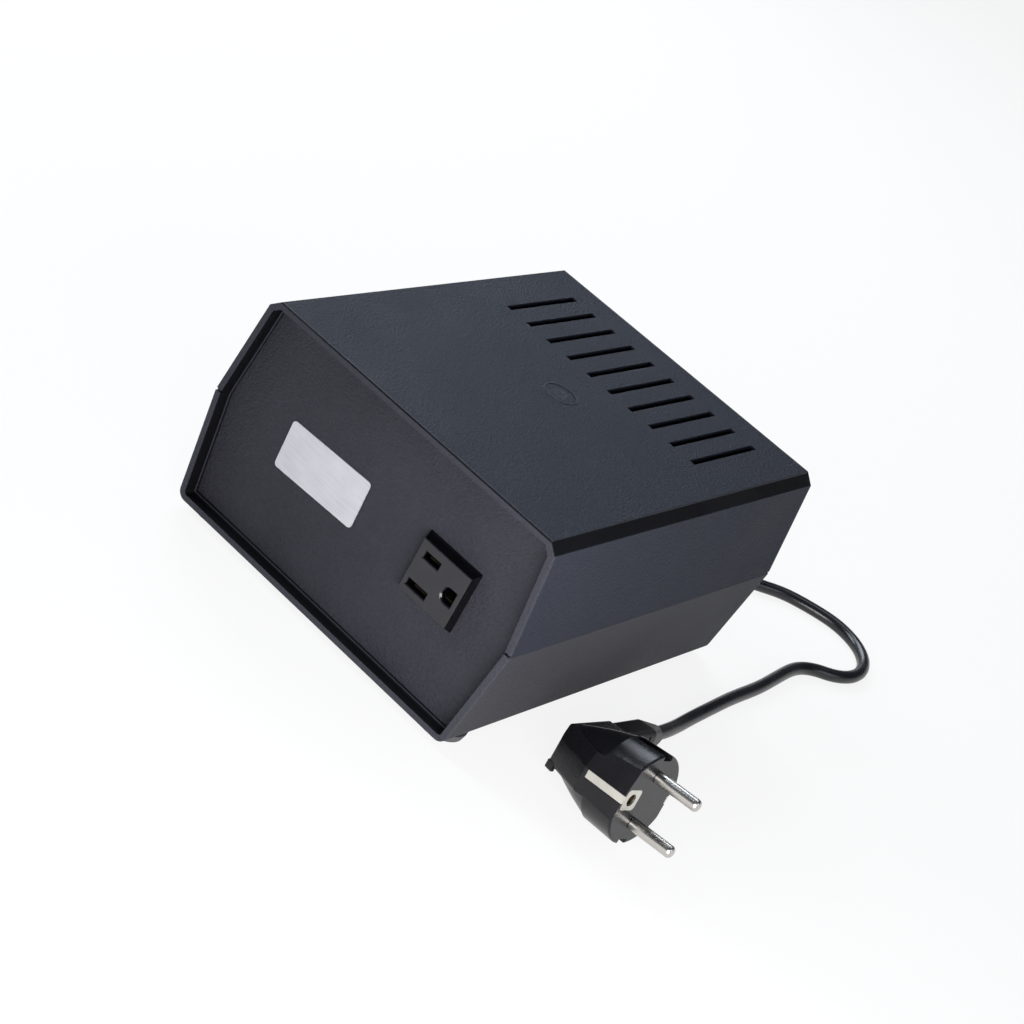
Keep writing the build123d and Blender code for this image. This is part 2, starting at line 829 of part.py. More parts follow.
# Washer and nut on top, and the long bolt from below
washer_z = plate_seat_z
nut_z = washer_z + washer_thickness
with BuildPart() as bolt_washer:
    with BuildSketch(Plane.XY.offset(washer_z)):
        with Locations((0, toroid_y)):
            Circle(washer_radius)
            Circle(bolt_radius + bolt_hole_gap, mode=Mode.SUBTRACT)
    extrude(amount=washer_thickness)
bolt_washer.part.label = "bolt_washer"

with BuildPart() as bolt_nut:
    with BuildSketch(Plane.XY.offset(nut_z)):
        with Locations((0, toroid_y)):
            RegularPolygon(nut_width / 2, 6, major_radius=False)
            Circle(bolt_radius, mode=Mode.SUBTRACT)
    extrude(amount=nut_height)
bolt_nut.part.label = "bolt_nut"

with BuildPart() as mounting_bolt:
    with BuildSketch(Plane.XY.offset(pocket_top_z - bolt_head_height)):
        with Locations((0, toroid_y)):
            RegularPolygon(bolt_head_width / 2, 6, major_radius=False)
    extrude(amount=bolt_head_height)
    with BuildSketch(Plane.XY.offset(pocket_top_z)):
        with Locations((0, toroid_y)):
            Circle(bolt_radius)
    extrude(amount=nut_z + nut_height + bolt_tail - pocket_top_z)
mounting_bolt.part.label = "mounting_bolt"

# Three-way terminal block on the floor, in the corner behind the winding, and its clamp screws
rear_rib_y = rear_panel_outer_y - panel_thickness - panel_slot_gap - back_rib_width
block_y = rear_rib_y - block_wall_gap - block_depth / 2
block_near_rise = min(block_y - block_depth / 2 - toroid_y, toroid_outer_radius)
block_right_x = -sqrt(toroid_outer_radius**2 - block_near_rise**2) - block_toroid_gap
block_x = block_right_x - block_width / 2
block_left_x = block_right_x - block_width
block_ways = [(block_x, block_y + step * block_pitch) for step in (-1, 0, 1)]
block_top_z = floor_z + block_height
bore_z = floor_z + block_height / 2
with BuildPart() as terminal_block:
    with BuildSketch(Plane.XY.offset(floor_z)):
        with Locations((block_x, block_y)):
            Rectangle(block_width, block_depth)
    extrude(amount=block_height)
    with BuildSketch(Plane.YZ.offset(block_x - block_width / 2)):
        with Locations(*[(y, bore_z) for x, y in block_ways]):
            Circle(wire_radius)
    extrude(amount=block_width, mode=Mode.SUBTRACT)
    with BuildSketch(Plane.XY.offset(block_top_z - block_screw_length)):
        with Locations(*block_ways):
            Circle(block_screw_radius)
    extrude(amount=block_screw_length, mode=Mode.SUBTRACT)
terminal_block.part.label = "terminal_block"

with BuildPart() as terminal_screws:
    with BuildSketch(Plane.XY.offset(block_top_z - block_screw_length)):
        with Locations(*block_ways):
            Circle(block_screw_radius)
    extrude(amount=block_screw_length - block_screw_sink)
    with BuildSketch(Plane.XY.offset(block_top_z - block_screw_sink - block_slot_depth)):
        with Locations(*block_ways):
            Rectangle(3 * block_screw_radius, block_slot_width)
    extrude(amount=block_slot_depth, mode=Mode.SUBTRACT)
terminal_screws.part.label = "terminal_screws"

# Thermal cut-out against the side of the winding
cutout_low_z = toroid_low_z + cutout_rise
with BuildPart() as thermal_cutout:
    with BuildSketch(Plane.XY.offset(cutout_low_z)):
        with Locations((-toroid_outer_radius - cutout_width / 2, toroid_y)):
            Rectangle(cutout_width, cutout_depth)
    extrude(amount=cutout_height)
thermal_cutout.part.label = "thermal_cutout"


def laid_path(name, places):
    """Straight runs joined by tangent arcs, each arc as large as its two runs allow."""
    places = [Vector(*place) for place in places]
    radii = []
    for before, corner, after in zip(places, places[1:], places[2:]):
        turn = radians((corner - before).get_angle(after - corner))
        shorter = min((corner - before).length, (after - corner).length)
        radii.append(0.45 * shorter / tan(turn / 2))
    print(name, "radii", [round(radius, 1) for radius in radii])
    return FilletPolyline(*places, radius=radii)


def toroid_side(angle, height, out=0):
    """A point at height on the winding's outer side, or out beyond it."""
    reach_out = toroid_outer_radius + out
    return (reach_out * cos(radians(angle)), toroid_y + reach_out * sin(radians(angle)), height)


# Supply wires, from the end of the cord's sheath to the right-hand side of the terminal block
strip_y = inner_cord_end_y
block_side_x = (block_left_x - post_x + post_radius) / 2
near_way_y, middle_way_y, far_way_y = [y for x, y in block_ways]
side_spread = wire_spread * sin(radians(60))
low_spread = wire_spread * cos(radians(60))
near_run_y = toroid_y + toroid_outer_radius + wire_radius + wire_gap
middle_run_y = near_run_y + wire_step
far_run_y = middle_run_y + wire_step
earth_core_path = laid_path("supply earth wire", [
    (bush_x, strip_y, bush_z + wire_spread),
    (bush_x, strip_y - 5.5, bush_z + wire_spread),
    (bush_x - 9.5, far_run_y - 1, bush_z + 3.5),
    (bush_x - 27.5, far_run_y + 3, bush_z - 1),
    (block_right_x + 9, far_way_y, bore_z),
    (block_right_x - block_wire_grip, far_way_y, bore_z),
])
with BuildPart() as supply_earth_wire:
    with BuildSketch(Plane(earth_core_path @ 0, z_dir=earth_core_path % 0)):
        Circle(wire_radius)
    sweep(path=earth_core_path)
supply_earth_wire.part.label = "supply_earth_wire"

line_core_path = laid_path("supply line wire", [
    (bush_x - side_spread, strip_y, bush_z - low_spread),
    (bush_x - side_spread, strip_y - 6.5, bush_z - low_spread),
    (bush_x - 15.5, middle_run_y, bush_z - 2),
    (block_right_x + 10, middle_way_y, bore_z),
    (block_right_x - block_wire_grip, middle_way_y, bore_z),
])
with BuildPart() as supply_line_wire:
    with BuildSketch(Plane(line_core_path @ 0, z_dir=line_core_path % 0)):
        Circle(wire_radius)
    sweep(path=line_core_path)
supply_line_wire.part.label = "supply_line_wire"

neutral_core_path = laid_path("supply neutral wire", [
    (bush_x + side_spread, strip_y, bush_z - low_spread),
    (bush_x + side_spread, strip_y - 8.2, bush_z - low_spread),
    (bush_x - 15.5, near_run_y, bush_z - 3),
    (block_right_x + 10, near_way_y + wire_gap, bore_z),
    (block_right_x + 5, near_way_y, bore_z),
    (block_right_x - block_wire_grip, near_way_y, bore_z),
])
with BuildPart() as supply_neutral_wire:
    with BuildSketch(Plane(neutral_core_path @ 0, z_dir=neutral_core_path % 0)):
        Circle(wire_radius)
    sweep(path=neutral_core_path)
supply_neutral_wire.part.label = "supply_neutral_wire"

# Leads on the left-hand side of the block, to the winding, the cut-out and the outlet's earth
common_lead_path = laid_path("common lead", [
    toroid_side(135, lead_height),
    toroid_side(135, lead_height, lead_out),
    (block_side_x, near_way_y - 4, bore_z + 7.5),
    (block_side_x, near_way_y, bore_z),
    (block_left_x + block_wire_grip, near_way_y, bore_z),
])
with BuildPart() as common_lead:
    with BuildSketch(Plane(common_lead_path @ 0, z_dir=common_lead_path % 0)):
        Circle(wire_radius)
    sweep(path=common_lead_path)
common_lead.part.label = "common_lead"

cutout_x = -toroid_outer_radius - cutout_width / 2
cutout_middle_z = cutout_low_z + cutout_height / 2
cutout_end_y = toroid_y + cutout_depth / 2
cutout_lead_path = laid_path("cut-out lead", [
    (cutout_x, cutout_end_y, cutout_middle_z),
    (cutout_x, cutout_end_y + 17, cutout_middle_z),
    (block_side_x - 6.3, near_way_y - 8, bore_z + 8.5),
    (block_side_x, middle_way_y, bore_z),
    (block_left_x + block_wire_grip, middle_way_y, bore_z),
])
with BuildPart() as cutout_lead:
    with BuildSketch(Plane(cutout_lead_path @ 0, z_dir=cutout_lead_path % 0)):
        Circle(wire_radius)
    sweep(path=cutout_lead_path)
cutout_lead.part.label = "cutout_lead"

# The outlet's leads: its earth over the top and down the left side, its live pair to the winding
terminal_end_y = terminal_start_y + terminal_length
lead_turn_y = terminal_end_y + lead_run
over_top_z = toroid_high_z + 4
side_way_x = -(toroid_outer_radius + seam_half - wall) / 2
outlet_earth_path = laid_path("outlet earth lead", [
    (earth_x, terminal_end_y, pattern_z),
    (earth_x, terminal_end_y + 8, pattern_z),
    (earth_x - 4.4, terminal_end_y + 7, over_top_z),
    (earth_x - 34, terminal_end_y - 6, over_top_z + 4),
    (side_way_x / 2, terminal_end_y - 3, over_top_z),
    (side_way_x + 4, toroid_y - 38, pattern_z + 2),
    (side_way_x - 2, toroid_y - 2, lead_height + 12),
    (side_way_x + 2, toroid_y + 32, lead_height + 2),
    (block_side_x, near_way_y - 3, bore_z + 14),
    (block_side_x, middle_way_y, bore_z + 11),
    (block_side_x, far_way_y, bore_z),
    (block_left_x + block_wire_grip, far_way_y, bore_z),
])
with BuildPart() as outlet_earth_lead:
    with BuildSketch(Plane(outlet_earth_path @ 0, z_dir=outlet_earth_path % 0)):
        Circle(wire_radius)
    sweep(path=outlet_earth_path)
outlet_earth_lead.part.label = "outlet_earth_lead"

tap_lead_path = laid_path("tap lead", [
    toroid_side(-50, lead_height + 9),
    toroid_side(-50, lead_height + 9, lead_out),
    (blade_x + 4.5, lead_turn_y + 1.5, line_z - 3),
    (blade_x, lead_turn_y, line_z),
    (blade_x, terminal_end_y, line_z),
])
with BuildPart() as tap_lead:
    with BuildSketch(Plane(tap_lead_path @ 0, z_dir=tap_lead_path % 0)):
        Circle(wire_radius)
    sweep(path=tap_lead_path)
tap_lead.part.label = "tap_lead"

neutral_lead_path = laid_path("outlet neutral lead", [
    toroid_side(-53, lead_height - 6),
    toroid_side(-53, lead_height - 6, lead_run),
    (blade_x, lead_turn_y, neutral_z - 7),
    (blade_x, lead_turn_y, neutral_z),
    (blade_x, terminal_end_y, neutral_z),
])
with BuildPart() as outlet_neutral_lead:
    with BuildSketch(Plane(neutral_lead_path @ 0, z_dir=neutral_lead_path % 0)):
        Circle(wire_radius)
    sweep(path=neutral_lead_path)
outlet_neutral_lead.part.label = "outlet_neutral_lead"

# Put-away coil: half turns inward on the upper layer, one that drops a layer, half turns outward
coil_step = cord_diameter + coil_turn_gap
half_step = coil_step / 2
coil_low_z = cord_radius + coil_floor_gap
coil_high_z = coil_low_z + cord_diameter + coil_layer_gap
reach = [coil_outer_radius - i * half_step for i in range(half_turns_in)]
reach.append(reach[-1] - half_step - coil_climb_inset)
reach = reach + reach[::-1]
heights = [coil_high_z] * (half_turns_in + 1) + [coil_low_z] * (half_turns_in + 1)
stations = []
for i, (radius, height) in enumerate(zip(reach, heights)):
    side = 1 if i % 2 == 0 else -1
    stations.append(Vector(coil_x + side * radius, coil_y, height))
last_side = 1 if len(stations) % 2 == 1 else -1
heading = Vector(0, 1, 0)
coil_arcs = []
for start, end in zip(stations, stations[1:]):
    middle = (start + end) / 2 + heading * ((end - start).length / 2)
    coil_arcs.append(ThreePointArc(start, middle, end))
    heading = -heading
last_radius = coil_outer_radius + half_step / 2
last_centre = Vector(coil_x - last_side * half_step / 2, coil_y, coil_low_z)
first_spoke = Vector(last_side * last_radius, 0, 0)
coil_arcs.append(
    ThreePointArc(
        last_centre + first_spoke,
        last_centre + first_spoke.rotate(Axis.Z, last_arc_angle / 2),
        last_centre + first_spoke.rotate(Axis.Z, last_arc_angle),
    )
)
coil_leave = coil_arcs[-1] @ 1
leave_way = coil_arcs[-1] % 1
coil_start = stations[0] - Vector(0, cord_diameter, 0)
coil_end = coil_leave + leave_way * cord_diameter
with BuildLine() as coil_line:
    Line(coil_start, stations[0])
    for arc in coil_arcs:
        add(arc)
    Line(coil_leave, coil_end)
coil_path = coil_line.wire()
with BuildPart() as cord_coil:
    with BuildSketch(Plane(coil_start, z_dir=(0, 1, 0))):
        Circle(cord_radius)
    sweep(path=coil_path)
cord_coil.part.label = "cord_coil"
cord_section = pi * cord_radius**2
print("coil length", round(coil_path.length, 1))
print("coil volume share", round(cord_coil.part.volume / (coil_path.length * cord_section), 4))

# Least gap of the coil to itself, measured between points along it
sample_count = 1400
samples = [coil_path.position_at(i / sample_count) for i in range(sample_count + 1)]
apart = int(3 * cord_diameter * sample_count / coil_path.length)
least = min(
    (samples[i] - samples[j]).length
    for i in range(len(samples))
    for j in range(i + apart, len(samples), 2)
)
print("coil least gap", round(least - cord_diameter, 2))

# Strap round the coil
tie_low = min(reach) - cord_radius - tie_inner_slack
tie_high = max(reach) + cord_radius + tie_outer_slack
tie_centre = (coil_x - (tie_low + tie_high) / 2, (coil_low_z + coil_high_z) / 2)
tie_inside_width = tie_high - tie_low
tie_inside_height = coil_high_z - coil_low_z + cord_diameter + 2 * tie_height_gap
with BuildPart() as coil_tie:
    with BuildSketch(front_plane(coil_y + tie_width / 2)):
        with Locations(tie_centre):
            RectangleRounded(
                tie_inside_width + 2 * tie_thickness,
                tie_inside_height + 2 * tie_thickness,
                tie_corner_radius + tie_thickness,
            )
            RectangleRounded(
                tie_inside_width, tie_inside_height, tie_corner_radius, mode=Mode.SUBTRACT
            )
    extrude(amount=tie_width)
coil_tie.part.label = "coil_tie"

# Cord from the bush down to the coil's upper layer, over the stretch that leaves the coil
lead_in_path = laid_path("cord lead in", [
    (bush_x, bush_tip_y, bush_z),
    (bush_x, bush_tip_y + 6.2, bush_z),
    (23.4, 123.9, 18.9),
    (23.2, 130.1, 16.6),
    (22.9, 136.3, 13.4),
    (22.6, 142.5, 10.9),
    (stations[0].X, 148.9, coil_high_z),
    (stations[0].X, coil_start.Y, coil_high_z),
])
with BuildPart() as cord_lead_in:
    with BuildSketch(Plane(lead_in_path @ 0, z_dir=lead_in_path % 0)):
        Circle(cord_radius)
    sweep(path=lead_in_path)
cord_lead_in.part.label = "cord_lead_in"

# The plug's own frame: z along its pins, x to the side where the cord leaves, y up its grip
pin_way = Vector(1, 0, 0).rotate(Axis.Y, -plug_pitch).rotate(Axis.Z, plug_yaw)
side_way = (
    Vector(0, 1, 0).rotate(Axis.X, -plug_roll).rotate(Axis.Y, -plug_pitch).rotate(Axis.Z, plug_yaw)
)
plug_z = disc_depth * pin_way.Z + disc_radius * sqrt(1 - pin_way.Z**2)
plug_frame = Plane(origin=(plug_x, plug_y, plug_z), x_dir=side_way, z_dir=pin_way)
plug_side = Plane(origin=plug_frame.origin, x_dir=side_way, z_dir=-plug_frame.y_dir)
plug_axis = Axis(plug_frame.origin, pin_way)


def behind(depth):
    """The plane across the plug that lies depth behind its face."""
    return plug_frame.offset(-depth)


def across(height):
    """The plane along the pins that lies height above the plug's middle."""
    return plug_side.offset(-height)


strip_channel_depth = strip_thickness + channel_sink
plate_end = flat_distance - strip_thickness - channel_sink
grip_outline = [
    (-flat_distance, -disc_depth + 1),
    (-flat_distance, -grip_slant_depth),
    (grip_near_x, -grip_back_depth),
    (grip_far_x, -grip_far_back_depth),
    (grip_far_x, -grip_far_front_depth),
    (flat_distance, -grip_slant_depth),
    (flat_distance, -disc_depth + 1),
]
cut_outline = [
    (-flat_distance, 1),
    (-flat_distance, -grip_slant_depth),
    (grip_near_x, -grip_back_depth),
    (flat_distance, -grip_back_depth - 1),
    (flat_distance, 1),
]

# Grip bar behind the plug's disc, with rounded edges
with BuildPart() as plug_grip:
    with BuildSketch(across(grip_height / 2)):
        with BuildLine():
            Polyline(*grip_outline, close=True)
        make_face()
    extrude(amount=grip_height)
    fillet(plug_grip.edges().filter_by(GeomType.LINE), grip_edge_radius)

# Small lip under the grip's near end, for the fingers
lip_outline = [
    (grip_near_x - lip_width, -grip_back_depth + 1.8 * lip_width),
    (grip_near_x - 0.5, -grip_back_depth - 0.1),
    (grip_near_x + 5 * lip_width, -grip_back_depth - 1.4),
    (grip_near_x + 5 * lip_width, -grip_back_depth + lip_width - 1.4),
    (grip_near_x + 0.5 * lip_width, -grip_back_depth + lip_width - 0.2),
    (grip_near_x - 0.2 * lip_width, -grip_back_depth + 2 * lip_width),
]
with BuildPart() as grip_lip:
    with BuildSketch(across(-grip_height / 2 + grip_edge_radius)):
        with BuildLine():
            Polyline(*lip_outline, close=True)
        make_face()
    extrude(amount=lip_drop + grip_edge_radius)
    fillet(grip_lip.faces().sort_by(Axis(plug_frame.origin, plug_frame.y_dir))[0].edges(), lip_edge_radius)

# The upper half of the near side leans inwards, along the disc's flat and along the grip
facet_line = Vector(-flat_distance, facet_low_edge, -grip_slant_depth)
flat_out = Vector(-1, 0, 0)
slant_out = Vector(
    grip_slant_depth - grip_back_depth, 0, -flat_distance - grip_near_x
).normalized()
facet_planes = [
    Plane(
        origin=plug_frame.from_local_coords(facet_line),
        z_dir=plug_frame.from_local_coords(
            out * cos(radians(facet_tilt)) + Vector(0, sin(radians(facet_tilt)), 0)
        ) - plug_frame.origin,
    )
    for out in (flat_out, slant_out)
]

# Plug body: disc with two flats, a bell behind it, the grip, and pockets for the metal pieces
with BuildPart() as plug_body:
    with BuildSketch(behind(disc_depth)):
        Circle(disc_back_radius)
    with BuildSketch(behind(0)):
        Circle(disc_radius)
    loft()
    fillet(plug_body.faces().sort_by(plug_axis)[-1].edges(), disc_edge_radius)
    with BuildSketch(plug_side):
        with BuildLine():
            Polyline(
                (bell_end_radius, -bell_end_depth),
                (0, -bell_end_depth),
                (0, -disc_depth + 1),
                (disc_back_radius - bell_step, -disc_depth + 1),
                (disc_back_radius - bell_step, -disc_depth),
            )
            ThreePointArc(
                (disc_back_radius - bell_step, -disc_depth),
                (bell_mid_radius, -bell_mid_depth),
                (bell_end_radius, -bell_end_depth),
            )
        make_face()
    revolve(axis=plug_axis)
    with BuildSketch(across(2 * disc_radius)):
        with BuildLine():
            Polyline(*cut_outline, close=True)
        make_face()
    extrude(amount=4 * disc_radius, mode=Mode.INTERSECT)
    add(plug_grip.part)
    add(grip_lip.part)
    for facet_plane in facet_planes:
        split(bisect_by=facet_plane, keep=Keep.BOTTOM)
    with BuildSketch(behind(disc_depth - disc_edge_radius)):
        with Locations((0, disc_radius), (0, -disc_radius)):
            Rectangle(guide_width, 2 * guide_depth)
    extrude(amount=2 * disc_depth, mode=Mode.SUBTRACT)
    with BuildSketch(behind(pin_root)):
        with Locations((0, pin_spacing / 2), (0, -pin_spacing / 2)):
            Circle(pin_root_radius)
    extrude(amount=pin_root, mode=Mode.SUBTRACT)
    with BuildSketch(behind(strip_thickness)):
        with Locations((-earth_distance, 0)):
            RectangleRounded(face_plate_length, face_plate_height, face_plate_corner)
        with Locations((-(earth_distance + plate_end) / 2, 0)):
            Rectangle(plate_end - earth_distance, strip_width)
    extrude(amount=strip_thickness, mode=Mode.SUBTRACT)
    with BuildSketch(behind(strip_thickness + sleeve_depth)):
        with Locations((-earth_distance, 0)):
            Circle(sleeve_radius)
    extrude(amount=sleeve_depth, mode=Mode.SUBTRACT)
    with BuildSketch(behind(strip_length)):
        with Locations((-flat_distance, 0)):
            Rectangle(2 * strip_channel_depth, strip_width + 2 * channel_gap)
    extrude(amount=strip_length + 1, mode=Mode.SUBTRACT)
    with BuildSketch(behind(far_strip_start + far_strip_length)):
        with Locations((flat_distance, 0)):
            Rectangle(2 * strip_channel_depth, strip_width + 2 * channel_gap)
    extrude(amount=far_strip_length, mode=Mode.SUBTRACT)
plug_body.part.label = "plug_body"

# Pins, with rounded tips and thinner roots
with BuildPart() as plug_pins:
    for side in (-1, 1):
        with BuildSketch(behind(pin_root)):
            with Locations((0, side * pin_spacing / 2)):
                Circle(pin_root_radius)
        extrude(amount=pin_root + pin_neck)
        with BuildSketch(behind(-pin_neck)):
            with Locations((0, side * pin_spacing / 2)):
                Circle(pin_radius)
        extrude(amount=pin_length - pin_neck)
    fillet(plug_pins.faces().group_by(plug_axis)[-1].edges(), pin_radius - pin_tip_radius)
plug_pins.part.label = "plug_pins"

# Earth contact: a strip down the near flat and the plate round the earth hole, in one piece
with BuildPart() as plug_earth_contact:
    with BuildSketch(behind(strip_length)):
        with Locations((-plate_end - strip_thickness / 2, 0)):
            Rectangle(strip_thickness, strip_width)
    extrude(amount=strip_length)
    with BuildSketch(behind(strip_thickness)):
        with Locations((-earth_distance, 0)):
            RectangleRounded(face_plate_length, face_plate_height, face_plate_corner)
        with Locations((-(earth_distance + plate_end) / 2, 0)):
            Rectangle(plate_end - earth_distance, strip_width)
        with Locations((-earth_distance, 0)):
            Circle(earth_bore_radius, mode=Mode.SUBTRACT)
    extrude(amount=strip_thickness)
plug_earth_contact.part.label = "plug_earth_contact"

with BuildPart() as plug_far_contact:
    with BuildSketch(behind(far_strip_start + far_strip_length)):
        with Locations((plate_end + strip_thickness / 2, 0)):
            Rectangle(strip_thickness, strip_width)
    extrude(amount=far_strip_length)
plug_far_contact.part.label = "plug_far_contact"

# Sleeve that takes the socket's earth pin
with BuildPart() as plug_earth_sleeve:
    with BuildSketch(behind(strip_thickness + sleeve_depth)):
        with Locations((-earth_distance, 0)):
            Circle(sleeve_radius)
            Circle(earth_bore_radius, mode=Mode.SUBTRACT)
    extrude(amount=sleeve_depth)
plug_earth_sleeve.part.label = "plug_earth_sleeve"

# Strain relief from the end of the grip to the cord, with slots in its two wide faces
grip_end_depth = (grip_far_back_depth + grip_far_front_depth) / 2
grip_end = plug_side.from_local_coords(Vector(grip_far_x, -grip_end_depth, 0))
relief_way = (
    side_way - pin_way * tan(radians(relief_tilt)) + plug_frame.y_dir * tan(radians(relief_lift))
).normalized()
relief_root_plane = Plane(origin=grip_end, x_dir=pin_way, z_dir=side_way)
relief_plane = Plane(origin=grip_end, x_dir=pin_way, z_dir=relief_way)
relief_end = grip_end + relief_way * relief_length
relief_slot_pitch = (relief_mid_way - relief_slot_start) / relief_slot_count
with BuildPart() as plug_relief:
    with BuildSketch(relief_root_plane):
        RectangleRounded(relief_root_width, relief_root_height, relief_root_corner)
    with BuildSketch(relief_plane.offset(relief_mid_way)):
        RectangleRounded(relief_mid_width, relief_mid_height, relief_mid_corner)
    loft(ruled=True)
    with BuildSketch(relief_plane.offset(relief_mid_way)):
        RectangleRounded(relief_mid_width, relief_mid_height, relief_mid_corner)
    with BuildSketch(relief_plane.offset(relief_length)):
        RectangleRounded(2 * relief_tip_radius, 2 * relief_tip_radius, relief_tip_corner)
    loft(ruled=True)
    for i in range(relief_slot_count):
        slot_way = relief_slot_start + i * relief_slot_pitch
        slot_side = (
            relief_root_width + (relief_mid_width - relief_root_width) * slot_way / relief_mid_way
        ) / 2
        with BuildSketch(relief_plane.offset(slot_way)):
            with Locations((slot_side, 0), (-slot_side, 0)):
                Rectangle(2 * relief_slot_depth, relief_slot_height)
        extrude(amount=relief_slot_width, mode=Mode.SUBTRACT)
plug_relief.part.label = "plug_relief"

# Cord from the coil out to the plug: forward beside the coil, round in a wide turn, then along the case
cord_rest_z = cord_radius + 0.05
first_way = coil_end + leave_way * 12
lead_out_points = [
    tuple(coil_end),
    (first_way.X, first_way.Y, coil_low_z),
    (35.2, 152.4, 3.1),
    (48.8, 168.0, cord_rest_z),
    (57.2, 178.3, cord_rest_z),
    (66.4, 183.9, cord_rest_z),
    (79.4, 189.2, cord_rest_z),
    (89.4, 189.1, cord_rest_z),
    (98.7, 185.3, cord_rest_z),
    (105.8, 178.2, cord_rest_z),
    (109.7, 168.9, cord_rest_z),
    (109.8, 158.9, cord_rest_z),
    (106.1, 149.6, cord_rest_z),
    (98.8, 142.0, cord_rest_z),
    (95.0, 131.6, cord_rest_z),
    (96.3, 113.5, cord_rest_z),
    (97.6, 97.0, cord_rest_z),
    (97.2, 76.5, cord_rest_z),
    (98.2, 55.0, cord_rest_z),
    (98.9, 41.0, cord_rest_z),
    (100.0, 29.5, 3.2),
    tuple(relief_end + relief_way * 8),
    tuple(relief_end),
]
lead_out_path = laid_path("cord lead out", lead_out_points)
with BuildPart() as cord_lead_out:
    with BuildSketch(Plane(lead_out_path @ 0, z_dir=lead_out_path % 0)):
        Circle(cord_radius)
    sweep(path=lead_out_path)
cord_lead_out.part.label = "cord_lead_out"

for stretch, path in ((cord_lead_in, lead_in_path), (cord_lead_out, lead_out_path)):
    share = stretch.part.volume / (path.length * cord_section)
    print(stretch.part.label, "length", round(path.length, 1), "volume share", round(share, 4))
sheath_length = bush_tip_y - inner_cord_end_y
print("cord length", round(sheath_length + lead_in_path.length + coil_path.length + lead_out_path.length, 1))
print("relief end", [round(value, 2) for value in tuple(relief_end)])
print("lead out start", [round(value, 2) for value in tuple(coil_end)])

pieces = [
    lower_shell, upper_shell, front_panel, rear_panel, feet, case_screws, label_plate, outlet_body,
    outlet_line_contact, outlet_neutral_contact, outlet_earth_contact, push_on_terminals,
    cord_bush, bush_nut, inner_cord, toroid_core, core_insulation, common_winding,
    series_winding, outer_tape, lower_pad, upper_pad, clamp_plate, bolt_washer, bolt_nut,
    mounting_bolt, terminal_block, terminal_screws, thermal_cutout, supply_earth_wire,
    supply_line_wire, supply_neutral_wire, common_lead, cutout_lead, outlet_earth_lead, tap_lead,
    outlet_neutral_lead, cord_lead_in, cord_coil, coil_tie, cord_lead_out, plug_body, plug_pins,
    plug_earth_contact, plug_far_contact, plug_earth_sleeve, plug_relief,
]
os.makedirs("parts", exist_ok=True)
for piece in pieces:
    export_step(piece.part, f"parts/{piece.part.label}.step")
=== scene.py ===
from math import cos, pi, radians, sin

import bmesh
import bpy
from mathutils import Matrix, Vector


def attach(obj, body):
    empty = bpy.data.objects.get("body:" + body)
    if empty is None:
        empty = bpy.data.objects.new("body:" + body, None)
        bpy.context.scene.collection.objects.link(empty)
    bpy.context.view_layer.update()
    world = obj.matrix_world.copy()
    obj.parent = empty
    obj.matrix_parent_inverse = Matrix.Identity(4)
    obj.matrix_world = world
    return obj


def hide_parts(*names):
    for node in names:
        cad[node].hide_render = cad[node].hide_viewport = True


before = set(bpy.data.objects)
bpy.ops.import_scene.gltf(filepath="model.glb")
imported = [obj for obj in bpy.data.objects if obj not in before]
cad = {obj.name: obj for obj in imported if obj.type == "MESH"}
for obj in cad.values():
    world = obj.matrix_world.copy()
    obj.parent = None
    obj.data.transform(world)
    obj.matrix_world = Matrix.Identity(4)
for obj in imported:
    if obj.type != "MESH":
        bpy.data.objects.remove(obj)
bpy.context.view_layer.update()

scene = bpy.context.scene


# The tabletop and a wall of white card far round it. They are a studio surface, not part of the
# object: matt white, and shown as plain white to the camera while they still take its shadow.
class Tone:
    """A socket of one node tree, on which plain sums can be written."""

    def __init__(self, tree, socket=None):
        self.tree = tree
        self.socket = socket

    def node(self, kind, sockets=None, settings=None, out=0):
        """A node of that kind, its settings made first, and its output as a Tone."""
        made = self.tree.nodes.new(kind)
        for key, value in (settings or {}).items():
            setattr(made, key, value)
        for key, value in (sockets or {}).items():
            if isinstance(value, Tone):
                self.tree.links.new(value.socket, made.inputs[key])
            else:
                made.inputs[key].default_value = value
        return Tone(self.tree, made.outputs[out] if made.outputs else None)

    def sum_of(self, operation, first, second=0.0, clamp=False):
        settings = {"operation": operation, "use_clamp": clamp}
        return self.node("ShaderNodeMath", {0: first, 1: second}, settings)

    def __add__(self, other):
        return self.sum_of("ADD", self, other)

    def __radd__(self, other):
        return self.sum_of("ADD", other, self)

    def __sub__(self, other):
        return self.sum_of("SUBTRACT", self, other)

    def __rsub__(self, other):
        return self.sum_of("SUBTRACT", other, self)

    def __mul__(self, other):
        return self.sum_of("MULTIPLY", self, other)

    def __rmul__(self, other):
        return self.sum_of("MULTIPLY", other, self)

    def __abs__(self):
        return self.sum_of("ABSOLUTE", self)

    def greater(self, other):
        return self.sum_of("MAXIMUM", self, other)

    def lesser(self, other):
        return self.sum_of("MINIMUM", self, other)

    def above(self, level, width):
        """Nought below the level, one above it, and a soft step of that width between."""
        return self.sum_of("DIVIDE", self - (level - width / 2), width, clamp=True)

    def blend(self, low, high):
        """The low colour where this is nought, the high one where it is one."""
        colours = {"Factor": self, "A": low, "B": high}
        return self.node("ShaderNodeMix", colours, {"data_type": "RGBA"}, out=2)


def new_material(name):
    """A material without nodes, and a Tone to start its nodes from."""
    material = bpy.data.materials.new(name)
    material.use_nodes = True
    material.node_tree.nodes.clear()
    return material, Tone(material.node_tree)


card_white = (0.80, 0.80, 0.80, 1)
plain_white = (1, 1, 1, 1)
card_glow = 0.86
table_reach = 20.0
wall_height = 4.5


